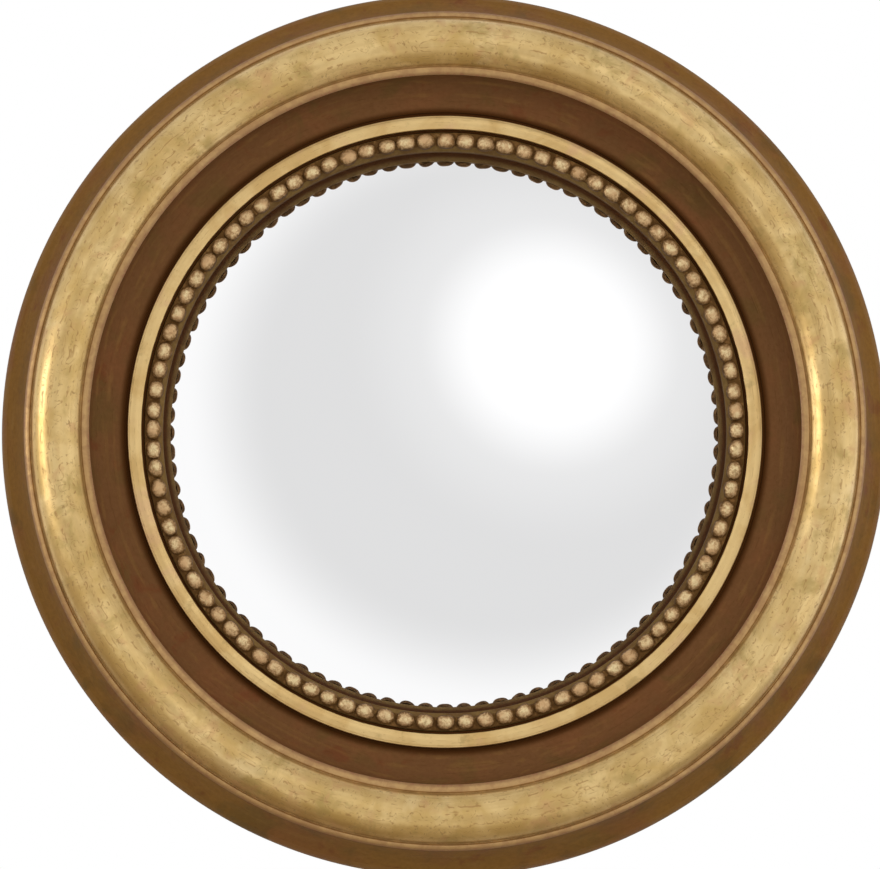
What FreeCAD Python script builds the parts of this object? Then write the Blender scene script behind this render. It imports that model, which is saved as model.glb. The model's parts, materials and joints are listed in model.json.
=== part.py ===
import FreeCAD, Part
import math
import os
import re

import Sketcher
from FreeCAD import Placement, Rotation, Vector

# A round convex mirror in a turned gilt and bronze-brown frame.
# Its axis is Y: the front looks along -Y, +Z is up, and the wall is the plane Y = 0.
# In the ring profiles below a point is (radius, height), where height is measured
# from the wall towards the room.

DIMENSIONS = [
    # the whole frame
    ("overall_diameter", 500.0, "outside diameter of the frame"),
    ("wall_gap", 5.0, "gap that the bumpers keep between frame and wall"),
    ("fit_gap", 0.3, "easy fit between turned rings"),
    ("contact_gap", 0.1, "gap between the glass and what it lies on"),
    # back layer of the frame
    ("back_layer", 15.0, "thickness of the back layer"),
    ("edge_band", 7.0, "height of the straight outer edge"),
    ("edge_inset", 3.5, "how far the rounded edge comes in"),
    ("back_chamfer", 1.5, "chamfer of the back outer edge"),
    # front layer of the frame, from the outside in
    ("front_layer", 21.0, "thickness of the front layer at its outer edge"),
    ("cant_rise", 4.0, "how much higher the top is at its inner edge"),
    ("outer_cove_width", 11.3, "width of the hollow on the outside"),
    ("outer_cove", 35.0, "radius of the hollow on the outside"),
    ("inner_cove_width", 18.4, "width of the hollow on the inside"),
    ("inner_cove", 20.0, "radius of the hollow on the inside"),
    ("quirk_step", 1.0, "depth of the quirk at the foot of the hollow"),
    ("ledge_rise", 6.0, "thickness of the inner ledge"),
    # gilt half-round moulding
    ("gilt_width", 36.6, "width of the gilt moulding"),
    ("gilt_overhang", 0.4, "how far its fillets stand over the frame"),
    ("fillet_height", 2.5, "thickness of the fillets"),
    ("outer_fillet", 4.0, "width of the outer fillet"),
    ("inner_fillet", 5.0, "width of the inner fillet"),
    ("torus_crown", 9.0, "rise of the half-round over its fillets"),
    ("torus_quirk", 1.0, "depth of the grooves beside the half-round"),
    # thin gilt ring
    ("ring_margin", 2.0, "flat between the foot of the hollow and the thin ring"),
    ("ring_width", 7.7, "width of the thin ring"),
    ("ring_band", 1.4, "height of its straight sides"),
    ("ring_crown", 2.0, "rise of its rounded top"),
    ("ring_inset", 1.3, "flat between the thin ring and the frame's bore"),
    # sight slip and beads
    ("slip_width", 10.1, "width of the slip's wall in front"),
    ("slip_rise", 6.0, "how far the slip stands over the frame's joint"),
    ("slip_wall", 7.1, "wall of the slip round the glass edge"),
    ("shadow_gap", 1.0, "height of the undercut next to the glass"),
    ("shadow_depth", 1.2, "depth of the undercut next to the glass"),
    ("slip_bevel_width", 2.3, "width of the slip's bevel beside the glass"),
    ("slip_bevel_height", 3.6, "height of the slip's bevel beside the glass"),
    ("ribbon_margin", 0.3, "setback of the bead ribbon from the slip's outside"),
    ("ribbon_height", 1.2, "thickness of the bead ribbon"),
    ("ribbon_bevel", 0.8, "width of the ribbon's bevel beside the glass"),
    ("bead_pitch", 11.2, "distance from bead to bead"),
    ("bead_margin", 0.6, "setback of the beads from the ribbon's outside"),
    ("bead_radius", 4.0, "radius of a bead at its foot"),
    ("bead_height", 4.0, "height of a bead over the ribbon"),
    ("bead_lift", 0.1, "gap between a bead's foot and the slip's front"),
    # glass and backboard
    ("glass_curve", 555.0, "radius of curvature of the glass front"),
    ("glass_lap", 9.2, "how far the glass reaches under the slip"),
    ("glass_height", 3.0, "thickness of the glass"),
    ("glass_edge_gap", 0.6, "room around the glass edge"),
    ("cushion_inset", 0.5, "setback of the felt ring from the glass edge"),
    ("cushion_width", 10.0, "width of the felt ring"),
    ("cushion_height", 0.6, "thickness of the felt ring at its outside"),
    ("board_height", 4.0, "thickness of the backboard"),
    ("board_gap", 0.8, "room around the backboard"),
    # turn buttons
    ("button_count", 6, "number of turn buttons"),
    ("button_margin", 11.0, "distance of a turn button's screw from the rebate"),
    ("button_width", 12.0, "width of a turn button"),
    ("button_reach", 27.0, "length of a turn button from its screw to its tip"),
    ("button_height", 2.0, "thickness of a turn button"),
    ("button_play", 0.15, "gap over and under a turn button"),
    ("pivot_play", 0.05, "radial play of a turning piece on its pin"),
    # screws
    ("screw_radius", 1.75, "radius of a screw's shank"),
    ("screw_bite", 12.0, "how deep a screw goes into the frame"),
    ("pilot_play", 0.02, "radial room of a pilot hole"),
    ("pilot_extra", 0.5, "depth of a pilot hole past the screw"),
    ("head_radius", 3.4, "radius of a screw head"),
    ("head_height", 1.9, "height of a screw head"),
    ("head_chamfer", 0.9, "chamfer of a screw head"),
    # hangers
    ("hanger_offset", 150.0, "distance of a hanger to the side of the middle"),
    ("hanger_margin", 39.0, "distance of a hanger's pin from the rebate"),
    ("strap_width", 14.0, "width of a hanger strap"),
    ("strap_height", 1.0, "thickness of the strip it is folded from"),
    ("strap_drop", 34.0, "length of a strap below its pin"),
    ("strap_lap", 4.5, "distance from the pin to where the layers meet"),
    ("strap_corner", 5.0, "rounding of the strap's lower corners"),
    ("strap_screw_top", 9.2, "upper screw, below the pin"),
    ("strap_end", 7.0, "lower screw, above the strap's end"),
    ("strap_hole_play", 0.15, "radial room of a strap hole"),
    ("wire_radius", 1.3, "radius of the D-ring's wire"),
    ("dring_side_gap", 1.5, "gap between the strap and the wire beside it"),
    ("dring_rest_gap", 0.3, "gap between the strap and the bow that lies on it"),
    ("dring_corner", 2.5, "corner radius of a D-ring"),
    ("dring_side", 6.0, "distance from the pin to the start of the bow"),
    # bumpers
    ("bumper_margin", 16.0, "distance of a bumper's middle from the frame's edge"),
    ("bumper_radius", 7.0, "radius of a bumper"),
    ("bumper_chamfer", 0.8, "chamfer of a bumper's face"),
    ("bumper_angle", 30.0, "angle of a bumper above or below the middle, degrees"),
]

# Sizes that follow from the ones above.
DERIVED = [
    ("gilt_outer", "overall_diameter / 2 - edge_inset - outer_cove_width"),
    ("gilt_inner", "gilt_outer - gilt_width"),
    ("cove_foot", "gilt_inner - inner_cove_width"),
    ("ring_outer", "cove_foot - ring_margin"),
    ("frame_bore", "ring_outer - ring_width - ring_inset"),
    ("slip_outer", "frame_bore - fit_gap"),
    ("sight_radius", "slip_outer - slip_width"),
    ("glass_radius", "sight_radius + glass_lap"),
    ("rebate_radius", "glass_radius + glass_edge_gap + slip_wall + fit_gap"),
    ("ribbon_inner", "sight_radius + slip_bevel_width"),
    ("ribbon_outer", "slip_outer - ribbon_margin"),
    ("bead_circle", "ribbon_outer - bead_margin - bead_radius"),
    ("bead_count", "round(2 * pi * bead_circle / bead_pitch)"),
    ("cushion_outer", "glass_radius - cushion_inset"),
    ("button_pivot", "rebate_radius + button_margin"),
    ("hanger_circle", "rebate_radius + hanger_margin"),
    ("hanger_height", "sqrt(hanger_circle ^ 2 - hanger_offset ^ 2)"),
    ("strap_screw_low", "strap_drop - strap_end"),
    ("dring_half_width", "strap_width / 2 + dring_side_gap + wire_radius"),
    ("dring_reach", "dring_side + dring_half_width"),
    ("dring_lift", "strap_height - pivot_play + dring_rest_gap"),
    ("dring_tilt", "asin(dring_lift / dring_reach) / 1 deg"),
    ("bumper_circle", "overall_diameter / 2 - bumper_margin"),
]
DIMENSION_NAMES = {row[0] for row in DIMENSIONS + DERIVED}

# Shares of a bead's radius and height at its shoulder and at its flat tip.
BEAD_SIDES = 8
BEAD_SHOULDER_RADIUS = 0.80
BEAD_SHOULDER_HEIGHT = 0.62
BEAD_TIP_RADIUS = 0.40
# The D-ring's wire is drawn with flats.
WIRE_SIDES = 8

doc = FreeCAD.newDocument("convex_mirror")
sheet = doc.addObject("Spreadsheet::Sheet", "sizes")
for row, (name, value, meaning) in enumerate(DIMENSIONS, start=1):
    sheet.set(f"A{row}", meaning)
    sheet.set(f"B{row}", str(value))
    sheet.setAlias(f"B{row}", name)
for row, (name, formula) in enumerate(DERIVED, start=len(DIMENSIONS) + 1):
    sheet.set(f"B{row}", f"={formula}")
    sheet.setAlias(f"B{row}", name)
    doc.recompute()


# ---------------------------------------------------------------- helpers


def bound(formula):
    """The formula with every dimension's name written as a cell of the sheet."""

    def cell(match):
        word = match.group(0)
        return f"sizes.{word}" if word in DIMENSION_NAMES else word

    return re.sub(r"[A-Za-z_][A-Za-z0-9_]*", cell, formula)


def value_of(formula):
    """The present value of a formula of dimensions."""
    return float(sheet.evalExpression(bound(formula)))


def add_body(label):
    body = doc.addObject("PartDesign::Body", label)
    body.Label = label
    return body


def add_sketch(body, name, plane, offset=None):
    """A sketch on one of the body's own planes, moved along its normal by a formula."""
    sketch = body.newObject("Sketcher::SketchObject", f"{body.Name}_{name}")
    planes = [f for f in body.Origin.OriginFeatures if f.Role == plane]
    sketch.AttachmentSupport = [(planes[0], "")]
    sketch.MapMode = "FlatFace"
    if offset is not None:
        sketch.AttachmentOffset = Placement(Vector(0, 0, value_of(offset)), Rotation())
        sketch.setExpression("AttachmentOffset.Base.z", bound(offset))
    return sketch


def add_constraint(sketch, formula, *arguments):
    """A dimension of the sketch that follows a formula."""
    kind, elements = arguments[0], arguments[1:]
    index = sketch.addConstraint(Sketcher.Constraint(kind, *elements, value_of(formula)))
    sketch.setExpression(f"Constraints[{index}]", bound(formula))


def pin_point(sketch, element, point, x, y):
    """Holds a point of a sketch element at formulas x and y from the sketch's origin."""
    for kind, axis, formula in (("DistanceX", -2, x), ("DistanceY", -1, y)):
        place = value_of(formula)
        if abs(place) < 1e-9:
            sketch.addConstraint(Sketcher.Constraint("PointOnObject", element, point, axis))
        elif place > 0:
            add_constraint(sketch, formula, kind, -1, 1, element, point)
        else:
            add_constraint(sketch, f"-({formula})", kind, element, point, -1, 1)


def add_circle(sketch, x, y, radius):
    centre = Vector(value_of(x), value_of(y), 0)
    circle = sketch.addGeometry(Part.Circle(centre, Vector(0, 0, 1), value_of(radius)), False)
    pin_point(sketch, circle, 3, x, y)
    add_constraint(sketch, radius, "Radius", circle)


def polygon(x, y, radius, sides):
    """Corners of a regular polygon inside a circle."""
    corners = []
    for side in range(sides):
        angle = 2 * math.pi * (side + 0.5) / sides
        along = f"{x} + ({radius}) * {math.cos(angle):.6f}"
        across = f"{y} + ({radius}) * {math.sin(angle):.6f}"
        corners.append((along, across))
    return corners


def arc_between(start, end, radius, turn):
    """The short arc from start to end, turning left (+1) or right (-1)."""
    chord = end - start
    to_left = Vector(-chord.y, chord.x, 0).normalize()
    reach = math.sqrt(max(radius**2 - (chord.Length / 2) ** 2, 0.0))
    centre = (start + end) / 2 + to_left * (reach * turn)
    from_angle = math.atan2(start.y - centre.y, start.x - centre.x)
    to_angle = math.atan2(end.y - centre.y, end.x - centre.x)
    if turn < 0:
        from_angle, to_angle = to_angle, from_angle
    if to_angle < from_angle:
        to_angle += 2 * math.pi
    circle = Part.Circle(centre, Vector(0, 0, 1), radius)
    return Part.ArcOfCircle(circle, from_angle, to_angle)


def add_outline(sketch, corners):
    """A closed outline through corners (x, y), or (x, y, radius, turn) where an arc starts."""
    points = [Vector(value_of(c[0]), value_of(c[1]), 0) for c in corners]
    pieces = []
    for i, corner in enumerate(corners):
        start = points[i]
        end = points[(i + 1) % len(points)]
        if len(corner) == 2:
            piece = sketch.addGeometry(Part.LineSegment(start, end), False)
            pieces.append((piece, 1, 2))
            continue
        radius, turn = corner[2], corner[3]
        arc = arc_between(start, end, value_of(radius), turn)
        piece = sketch.addGeometry(arc, False)
        pieces.append((piece, 1, 2) if turn > 0 else (piece, 2, 1))
    for i, corner in enumerate(corners):
        piece, first, last = pieces[i]
        following, following_first, _ = pieces[(i + 1) % len(pieces)]
        sketch.addConstraint(
            Sketcher.Constraint("Coincident", piece, last, following, following_first)
        )
        pin_point(sketch, piece, first, corner[0], corner[1])
    for (piece, _, _), corner in zip(pieces, corners):
        if len(corner) == 4:
            add_constraint(sketch, corner[2], "Radius", piece)


def add_turned(label, profile):
    """A piece turned about the mirror's axis from a profile of (radius, height) points."""
    body = add_body(label)
    sketch = add_sketch(body, "profile", "XY_Plane")
    corners = []
    for corner in profile:
        radius, height = corner[0], corner[1]
        arc = () if len(corner) == 2 else (corner[2], -corner[3])
        corners.append((radius, f"-({height})", *arc))
    add_outline(sketch, corners)
    turned = body.newObject("PartDesign::Revolution", f"{body.Name}_turning")
    turned.Profile = sketch
    turned.ReferenceAxis = (sketch, ["V_Axis"])
    turned.Angle = 360
    return body


def add_pad(body, sketch, name, length, backwards=False):
    pad = body.newObject("PartDesign::Pad", f"{body.Name}_{name}")
    pad.Profile = sketch
    pad.Length = value_of(length)
    pad.setExpression("Length", bound(length))
    pad.Reversed = backwards
    return pad


def add_pocket(body, sketch, name, depth, backwards=False, both_ways=False):
    """A pocket that has to take material away."""
    doc.recompute()
    volume_before = body.Shape.Volume
    pocket = body.newObject("PartDesign::Pocket", f"{body.Name}_{name}")
    pocket.Profile = sketch
    pocket.Length = value_of(depth)
    pocket.setExpression("Length", bound(depth))
    pocket.Reversed = backwards
    pocket.Midplane = both_ways
    doc.recompute()
    if not body.Shape.Volume < volume_before:
        raise RuntimeError(f"{pocket.Name} cuts nothing")
    return pocket


def add_edge_feature(body, kind, name, base, edges, size):
    """A fillet or chamfer of the named edges of the base feature."""
    feature = body.newObject(f"PartDesign::{kind}", f"{body.Name}_{name}")
    feature.Base = (base, edges)
    size_property = "Radius" if kind == "Fillet" else "Size"
    setattr(feature, size_property, value_of(size))
    feature.setExpression(size_property, bound(size))
    return feature


def edges_at(feature, axis, place):
    """Names of the feature's edges that lie whole in the plane where axis equals place."""
    doc.recompute()
    names = []
    for number, edge in enumerate(feature.Shape.Edges, start=1):
        box = edge.BoundBox
        low, high = getattr(box, f"{axis}Min"), getattr(box, f"{axis}Max")
        if abs(low - place) < 1e-4 and abs(high - place) < 1e-4:
            names.append(f"Edge{number}")
    return names


def add_polar_pattern(body, features, name, count):
    """Repeats the features round the mirror's axis."""
    doc.recompute()
    axis = [f for f in body.Origin.OriginFeatures if f.Role == "Y_Axis"][0]
    pattern = body.newObject("PartDesign::PolarPattern", f"{body.Name}_{name}")
    pattern.Originals = features
    pattern.Axis = (axis, [""])
    pattern.Angle = 360
    pattern.Occurrences = int(value_of(count))
    pattern.setExpression("Occurrences", bound(count))
    body.Tip = pattern
    return pattern


# ---------------------------------------------------------------- heights and radii

OUTER_RADIUS = "overall_diameter / 2"
BACK_FACE = "wall_gap"
JOINT = "(wall_gap + back_layer)"
LEDGE = f"({JOINT} + ledge_rise)"
SLIP_TOP = f"({JOINT} + slip_rise)"
BOARD_FRONT = "(wall_gap + board_height)"
BACK_CURVE = "(glass_curve - glass_height)"
GLASS_CENTRE = (
    f"({BOARD_FRONT} + cushion_height + contact_gap"
    f" - sqrt({BACK_CURVE} ^ 2 - cushion_outer ^ 2))"
)
BUTTON_BACK = "(wall_gap - button_play - button_height)"
HEAD_SEAT = f"({BUTTON_BACK} - button_play)"
STRAP_FACE = "(wall_gap - 2 * strap_height)"
EYE_RADIUS = "(wire_radius + pivot_play)"
EYE_OUTER = f"({EYE_RADIUS} + strap_height)"
PIN_HEIGHT = f"(wall_gap - {EYE_OUTER})"


def gilt_base(radius):
    """Height of the canted face under the gilt moulding."""
    share = f"(gilt_outer - ({radius})) / (gilt_outer - gilt_inner)"
    return f"({JOINT} + front_layer + cant_rise * {share})"


def glass_front(radius):
    """Height of the convex front of the glass."""
    return f"({GLASS_CENTRE} + sqrt(glass_curve ^ 2 - ({radius}) ^ 2))"


def glass_back(radius):
    """Height of the silvered back of the glass, which is concentric with the front."""
    return f"({GLASS_CENTRE} + sqrt({BACK_CURVE} ^ 2 - ({radius}) ^ 2))"


def arc_radius(chord_squared, rise):
    """Radius of an arc from its chord's square and its rise."""
    return f"(({chord_squared}) / 4 + ({rise}) ^ 2) / (2 * ({rise}))"


# ---------------------------------------------------------------- turned rings


def make_frame_back_ring():
    """The back layer: it has the rounded outline, and its bore is the rebate."""
    rounding = "(back_layer - edge_band)"
    edge_radius = f"(edge_inset ^ 2 + {rounding} ^ 2) / (2 * edge_inset)"
    body = add_turned(
        "frame_back_ring",
        [
            ("rebate_radius", BACK_FACE),
            (f"{OUTER_RADIUS} - back_chamfer", BACK_FACE),
            (OUTER_RADIUS, f"{BACK_FACE} + back_chamfer"),
            (OUTER_RADIUS, f"{BACK_FACE} + edge_band", edge_radius, +1),
            (f"{OUTER_RADIUS} - edge_inset", JOINT),
            ("rebate_radius", JOINT),
        ],
    )
    pilot = "screw_radius + pilot_play"
    depth = "screw_bite + pilot_extra"
    first = add_sketch(body, "button_pilot", "XZ_Plane", BACK_FACE)
    add_circle(first, "button_pivot", "0", pilot)
    button_pilot = add_pocket(body, first, "button_pilot_hole", depth, backwards=True)
    add_polar_pattern(body, [button_pilot], "button_pilots", "button_count")
    strap_pilots = add_sketch(body, "strap_pilots", "XZ_Plane", BACK_FACE)
    for x, z in strap_screw_places():
        add_circle(strap_pilots, x, z, pilot)
    add_pocket(body, strap_pilots, "strap_pilot_holes", depth, backwards=True)
    return body


def make_frame_front_ring():
    """The front layer: a hollow on each side of the canted face that carries the gilding."""
    outer_edge = "gilt_outer - gilt_overhang"
    inner_edge = "gilt_inner + gilt_overhang"
    return add_turned(
        "frame_front_ring",
        [
            ("frame_bore", JOINT),
            (f"{OUTER_RADIUS} - edge_inset", JOINT, "outer_cove", -1),
            (outer_edge, gilt_base(outer_edge)),
            (inner_edge, gilt_base(inner_edge), "inner_cove", -1),
            ("cove_foot", f"{LEDGE} + quirk_step"),
            ("cove_foot", LEDGE),
            ("frame_bore", LEDGE),
        ],
    )


def make_gilt_torus_moulding():
    """The broad flattened half-round, with a quirk and a fillet on each side."""
    outer_quirk = "gilt_outer - outer_fillet"
    inner_quirk = "gilt_inner + inner_fillet"
    width = f"({outer_quirk} - ({inner_quirk}))"
    slope = "(cant_rise / (gilt_outer - gilt_inner))"
    chord_squared = f"{width} ^ 2 * (1 + {slope} ^ 2)"
    return add_turned(
        "gilt_torus_moulding",
        [
            ("gilt_inner", gilt_base("gilt_inner")),
            ("gilt_outer", gilt_base("gilt_outer")),
            ("gilt_outer", f"{gilt_base('gilt_outer')} + fillet_height"),
            (outer_quirk, f"{gilt_base(outer_quirk)} + fillet_height"),
            (
                outer_quirk,
                f"{gilt_base(outer_quirk)} + fillet_height - torus_quirk",
                arc_radius(chord_squared, "torus_crown + torus_quirk"),
                +1,
            ),
            (inner_quirk, f"{gilt_base(inner_quirk)} + fillet_height - torus_quirk"),
            (inner_quirk, f"{gilt_base(inner_quirk)} + fillet_height"),
            ("gilt_inner", f"{gilt_base('gilt_inner')} + fillet_height"),
        ],
    )


def make_gilt_astragal_ring():
    """The thin gilt ring with a rounded top, on the inner ledge."""
    inner = "ring_outer - ring_width"
    return add_turned(
        "gilt_astragal_ring",
        [
            (inner, LEDGE),
            ("ring_outer", LEDGE),
            (
                "ring_outer",
                f"{LEDGE} + ring_band",
                arc_radius("ring_width ^ 2", "ring_crown"),
                +1,
            ),
            (inner, f"{LEDGE} + ring_band"),
        ],
    )


def make_sight_slip():
    """The ring that carries the beads in front, stands on the glass and houses its edge."""
    undercut = "sight_radius + shadow_depth"
    shadow_top = f"{glass_front('sight_radius')} + shadow_gap"
    recess = "glass_radius + glass_edge_gap"
    shoulder = "rebate_radius - fit_gap"
    return add_turned(
        "sight_slip",
        [
            ("ribbon_inner", SLIP_TOP),
            ("sight_radius", f"{SLIP_TOP} - slip_bevel_height"),
            ("sight_radius", shadow_top),
            (undercut, shadow_top),
            (undercut, f"{glass_front(undercut)} + contact_gap"),
            (recess, f"{glass_front(recess)} + contact_gap"),
            (recess, BOARD_FRONT),
            (shoulder, BOARD_FRONT),
            (shoulder, JOINT),
            ("slip_outer", JOINT),
            ("slip_outer", SLIP_TOP),
        ],
    )


def make_bead_strip():
    """A ribbon with a row of small domed beads, moulded in one piece."""
    top = f"({SLIP_TOP} + ribbon_height)"
    body = add_turned(
        "bead_strip",
        [
            ("ribbon_inner", SLIP_TOP),
            ("ribbon_outer", SLIP_TOP),
            ("ribbon_outer", top),
            ("ribbon_inner + ribbon_bevel", top),
        ],
    )
    levels = [
        ("foot", "bead_radius", f"{SLIP_TOP} + bead_lift"),
        (
            "shoulder",
            f"bead_radius * {BEAD_SHOULDER_RADIUS}",
            f"{top} + bead_height * {BEAD_SHOULDER_HEIGHT}",
        ),
        ("tip", f"bead_radius * {BEAD_TIP_RADIUS}", f"{top} + bead_height"),
    ]
    sections = []
    for name, radius, height in levels:
        section = add_sketch(body, f"bead_{name}", "XZ_Plane", height)
        add_outline(section, polygon("bead_circle", "0", radius, BEAD_SIDES))
        sections.append(section)
    doc.recompute()
    bead = body.newObject("PartDesign::AdditiveLoft", "bead_strip_bead")
    bead.Profile = sections[0]
    bead.Sections = sections[1:]
    bead.Ruled = True
    add_polar_pattern(body, [bead], "row_of_beads", "bead_count")
    return body


# ---------------------------------------------------------------- glass and back


def add_sphere(name, radius):
    """A ball about the centre of the glass's curve, which lies behind the wall."""
    ball = doc.addObject("Part::Sphere", name)
    ball.setExpression("Radius", bound(radius))
    ball.setExpression("Placement.Base.y", bound(f"-{GLASS_CENTRE}"))
    return ball


def make_mirror_glass():
    """The convex glass: a shell between two balls with one centre, cut to a round."""
    shell = doc.addObject("Part::Cut", "glass_shell")
    shell.Base = add_sphere("glass_front_ball", "glass_curve")
    shell.Tool = add_sphere("glass_back_ball", BACK_CURVE)
    cutter = doc.addObject("Part::Cylinder", "glass_cutter")
    cutter.setExpression("Radius", bound("glass_radius"))
    cutter.setExpression("Height", bound(glass_front("0")))
    cutter.Placement = Placement(Vector(), Rotation(Vector(1, 0, 0), 90))
    glass = doc.addObject("Part::Common", "mirror_glass")
    glass.Label = "mirror_glass"
    glass.Base = shell
    glass.Tool = cutter
    return glass


def make_glass_cushion():
    """The wedge-shaped felt ring between the backboard and the glass."""
    outer = "cushion_outer"
    inner = "(cushion_outer - cushion_width)"
    return add_turned(
        "glass_cushion",
        [
            (inner, BOARD_FRONT),
            (outer, BOARD_FRONT),
            (outer, f"{glass_back(outer)} - contact_gap"),
            (inner, f"{glass_back(inner)} - contact_gap"),
        ],
    )


def make_backboard():
    body = add_body("backboard")
    outline = add_sketch(body, "outline", "XZ_Plane", BACK_FACE)
    add_circle(outline, "0", "0", "rebate_radius - board_gap")
    add_pad(body, outline, "board", "board_height")
    return body


def make_turn_button(number):
    """A flat strip with round ends that turns about its screw and overlaps the backboard."""
    body = add_body(f"turn_button_{number}")
    half = "(button_width / 2)"
    tip = f"(button_pivot - button_reach + {half})"
    outline = add_sketch(body, "outline", "XZ_Plane", BUTTON_BACK)
    add_outline(
        outline,
        [
            ("button_pivot", f"-{half}", half, +1),
            (f"button_pivot + {half}", "0", half, +1),
            ("button_pivot", half),
            (tip, half, half, +1),
            (f"{tip} - {half}", "0", half, +1),
            (tip, f"-{half}"),
        ],
    )
    add_pad(body, outline, "strip", "button_height")
    hole = add_sketch(body, "hole", "XZ_Plane", BUTTON_BACK)
    add_circle(hole, "button_pivot", "0", "screw_radius + pivot_play")
    add_pocket(body, hole, "screw_hole", "button_height", backwards=True)
    step = 360.0 / value_of("button_count")
    body.Placement = Placement(Vector(), Rotation(Vector(0, 1, 0), -step * (number - 1)))
    body.setExpression(
        "Placement.Rotation.Angle", bound(f"-360 deg / button_count * {number - 1}")
    )
    return body


# ---------------------------------------------------------------- screws, hangers, bumpers


def strap_screw_places():
    """The four strap screws as formulas (x, z)."""
    places = []
    for x in ("-hanger_offset", "hanger_offset"):
        for below in ("strap_screw_top", "strap_screw_low"):
            places.append((x, f"hanger_height - {below}"))
    return places


def add_screws(body, places, head_seat):
    """Pan head screws, each a shank that goes forward from its head's seat."""
    shanks = add_sketch(body, "shanks", "XZ_Plane", head_seat)
    heads = add_sketch(body, "heads", "XZ_Plane", head_seat)
    for x, z in places:
        add_circle(shanks, x, z, "screw_radius")
        add_circle(heads, x, z, "head_radius")
    shank_length = f"wall_gap + screw_bite - {head_seat}"
    add_pad(body, shanks, "shank", shank_length)
    head = add_pad(body, heads, "head", "head_height", backwards=True)
    head_back = value_of(f"{head_seat} - head_height")
    rim = edges_at(head, "Y", -head_back)
    add_edge_feature(body, "Chamfer", "head_edge", head, rim, "head_chamfer")


def make_turn_button_screws():
    body = add_body("turn_button_screws")
    body.AllowCompound = True
    count = int(value_of("button_count"))
    places = []
    for number in range(count):
        angle = 2 * math.pi * number / count
        x = f"button_pivot * {math.cos(angle):.6f}"
        z = f"button_pivot * {math.sin(angle):.6f}"
        places.append((x, z))
    add_screws(body, places, HEAD_SEAT)
    return body


def make_hanger_strap_screws():
    body = add_body("hanger_strap_screws")
    body.AllowCompound = True
    add_screws(body, strap_screw_places(), STRAP_FACE)
    return body


def place_at_pin(body, side, tilt=None):
    """Puts a hanger piece, drawn about its pin, on the left (-1) or right (+1) of the back."""
    x = f"{side} * hanger_offset"
    base = Vector(value_of(x), -value_of(PIN_HEIGHT), value_of("hanger_height"))
    angle = 0.0 if tilt is None else value_of(tilt)
    body.Placement = Placement(base, Rotation(Vector(1, 0, 0), angle))
    body.setExpression("Placement.Base.x", bound(x))
    body.setExpression("Placement.Base.y", bound(f"-{PIN_HEIGHT}"))
    body.setExpression("Placement.Base.z", bound("hanger_height"))
    if tilt is not None:
        body.setExpression("Placement.Rotation.Angle", bound(f"{tilt} * 1 deg"))


def make_hanger_strap(name, side):
    """A strip folded round the D-ring's pin, its two layers lying on the frame's back."""
    body = add_body(f"hanger_strap_{name}")
    slant = f"{EYE_OUTER} * {math.sqrt(0.5):.6f}"
    outer_face = f"(2 * strap_height - {EYE_OUTER})"
    section = add_sketch(body, "section", "YZ_Plane")
    add_outline(
        section,
        [
            (f"-{EYE_OUTER}", "-strap_drop"),
            (f"-{EYE_OUTER}", "0", EYE_OUTER, -1),
            ("0", EYE_OUTER, EYE_OUTER, -1),
            (EYE_OUTER, "0", EYE_OUTER, -1),
            (slant, f"-{slant}"),
            (outer_face, "-strap_lap"),
            (outer_face, "-strap_drop"),
        ],
    )
    add_circle(section, "0", "0", EYE_RADIUS)
    strip = add_pad(body, section, "strip", "strap_width")
    strip.Midplane = True
    doc.recompute()
    low_corners = []
    for number, edge in enumerate(strip.Shape.Edges, start=1):
        box = edge.BoundBox
        at_end = abs(box.ZMax + value_of("strap_drop")) < 1e-4
        along_y = box.XLength < 1e-4 and box.YLength > 1e-2
        if at_end and along_y:
            low_corners.append(f"Edge{number}")
    add_edge_feature(body, "Fillet", "low_corners", strip, low_corners, "strap_corner")
    holes = add_sketch(body, "holes", "XZ_Plane")
    for below in ("strap_screw_top", "strap_screw_low"):
        add_circle(holes, "0", f"-{below}", "screw_radius + strap_hole_play")
    add_pocket(body, holes, "screw_holes", f"4 * {EYE_OUTER}", both_ways=True)
    place_at_pin(body, side)
    return body


def make_d_ring(name, side):
    """A wire D: its straight side is the pin, and the bow hangs below it over the strap."""
    body = add_body(f"d_ring_{name}")
    half = "dring_half_width"
    corner = "dring_corner"
    path = add_sketch(body, "path", "XZ_Plane")
    add_outline(
        path,
        [
            ("0", "0"),
            (f"{half} - {corner}", "0", corner, -1),
            (half, f"-{corner}"),
            (half, "-dring_side", half, -1),
            ("0", f"-dring_side - {half}", half, -1),
            (f"-{half}", "-dring_side"),
            (f"-{half}", f"-{corner}", corner, -1),
            (f"{corner} - {half}", "0"),
        ],
    )
    section = add_sketch(body, "section", "YZ_Plane")
    add_outline(section, polygon("0", "0", "wire_radius", WIRE_SIDES))
    doc.recompute()
    wire = body.newObject("PartDesign::AdditivePipe", f"{body.Name}_wire")
    wire.Profile = section
    wire.Spine = path
    place_at_pin(body, side, "dring_tilt")
    return body


def make_wall_bumpers():
    """Four pads that keep the frame off the wall."""
    body = add_body("wall_bumpers")
    body.AllowCompound = True
    pads = add_sketch(body, "pads", "XZ_Plane")
    for x_side in (-1, 1):
        for z_side in (-1, 1):
            x = f"{x_side} * bumper_circle * cos(bumper_angle * 1 deg)"
            z = f"{z_side} * bumper_circle * sin(bumper_angle * 1 deg)"
            add_circle(pads, x, z, "bumper_radius")
    pad = add_pad(body, pads, "pads_height", "wall_gap")
    face_edges = edges_at(pad, "Y", 0.0)
    add_edge_feature(body, "Chamfer", "pad_edges", pad, face_edges, "bumper_chamfer")
    return body


# ---------------------------------------------------------------- assembly


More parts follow.
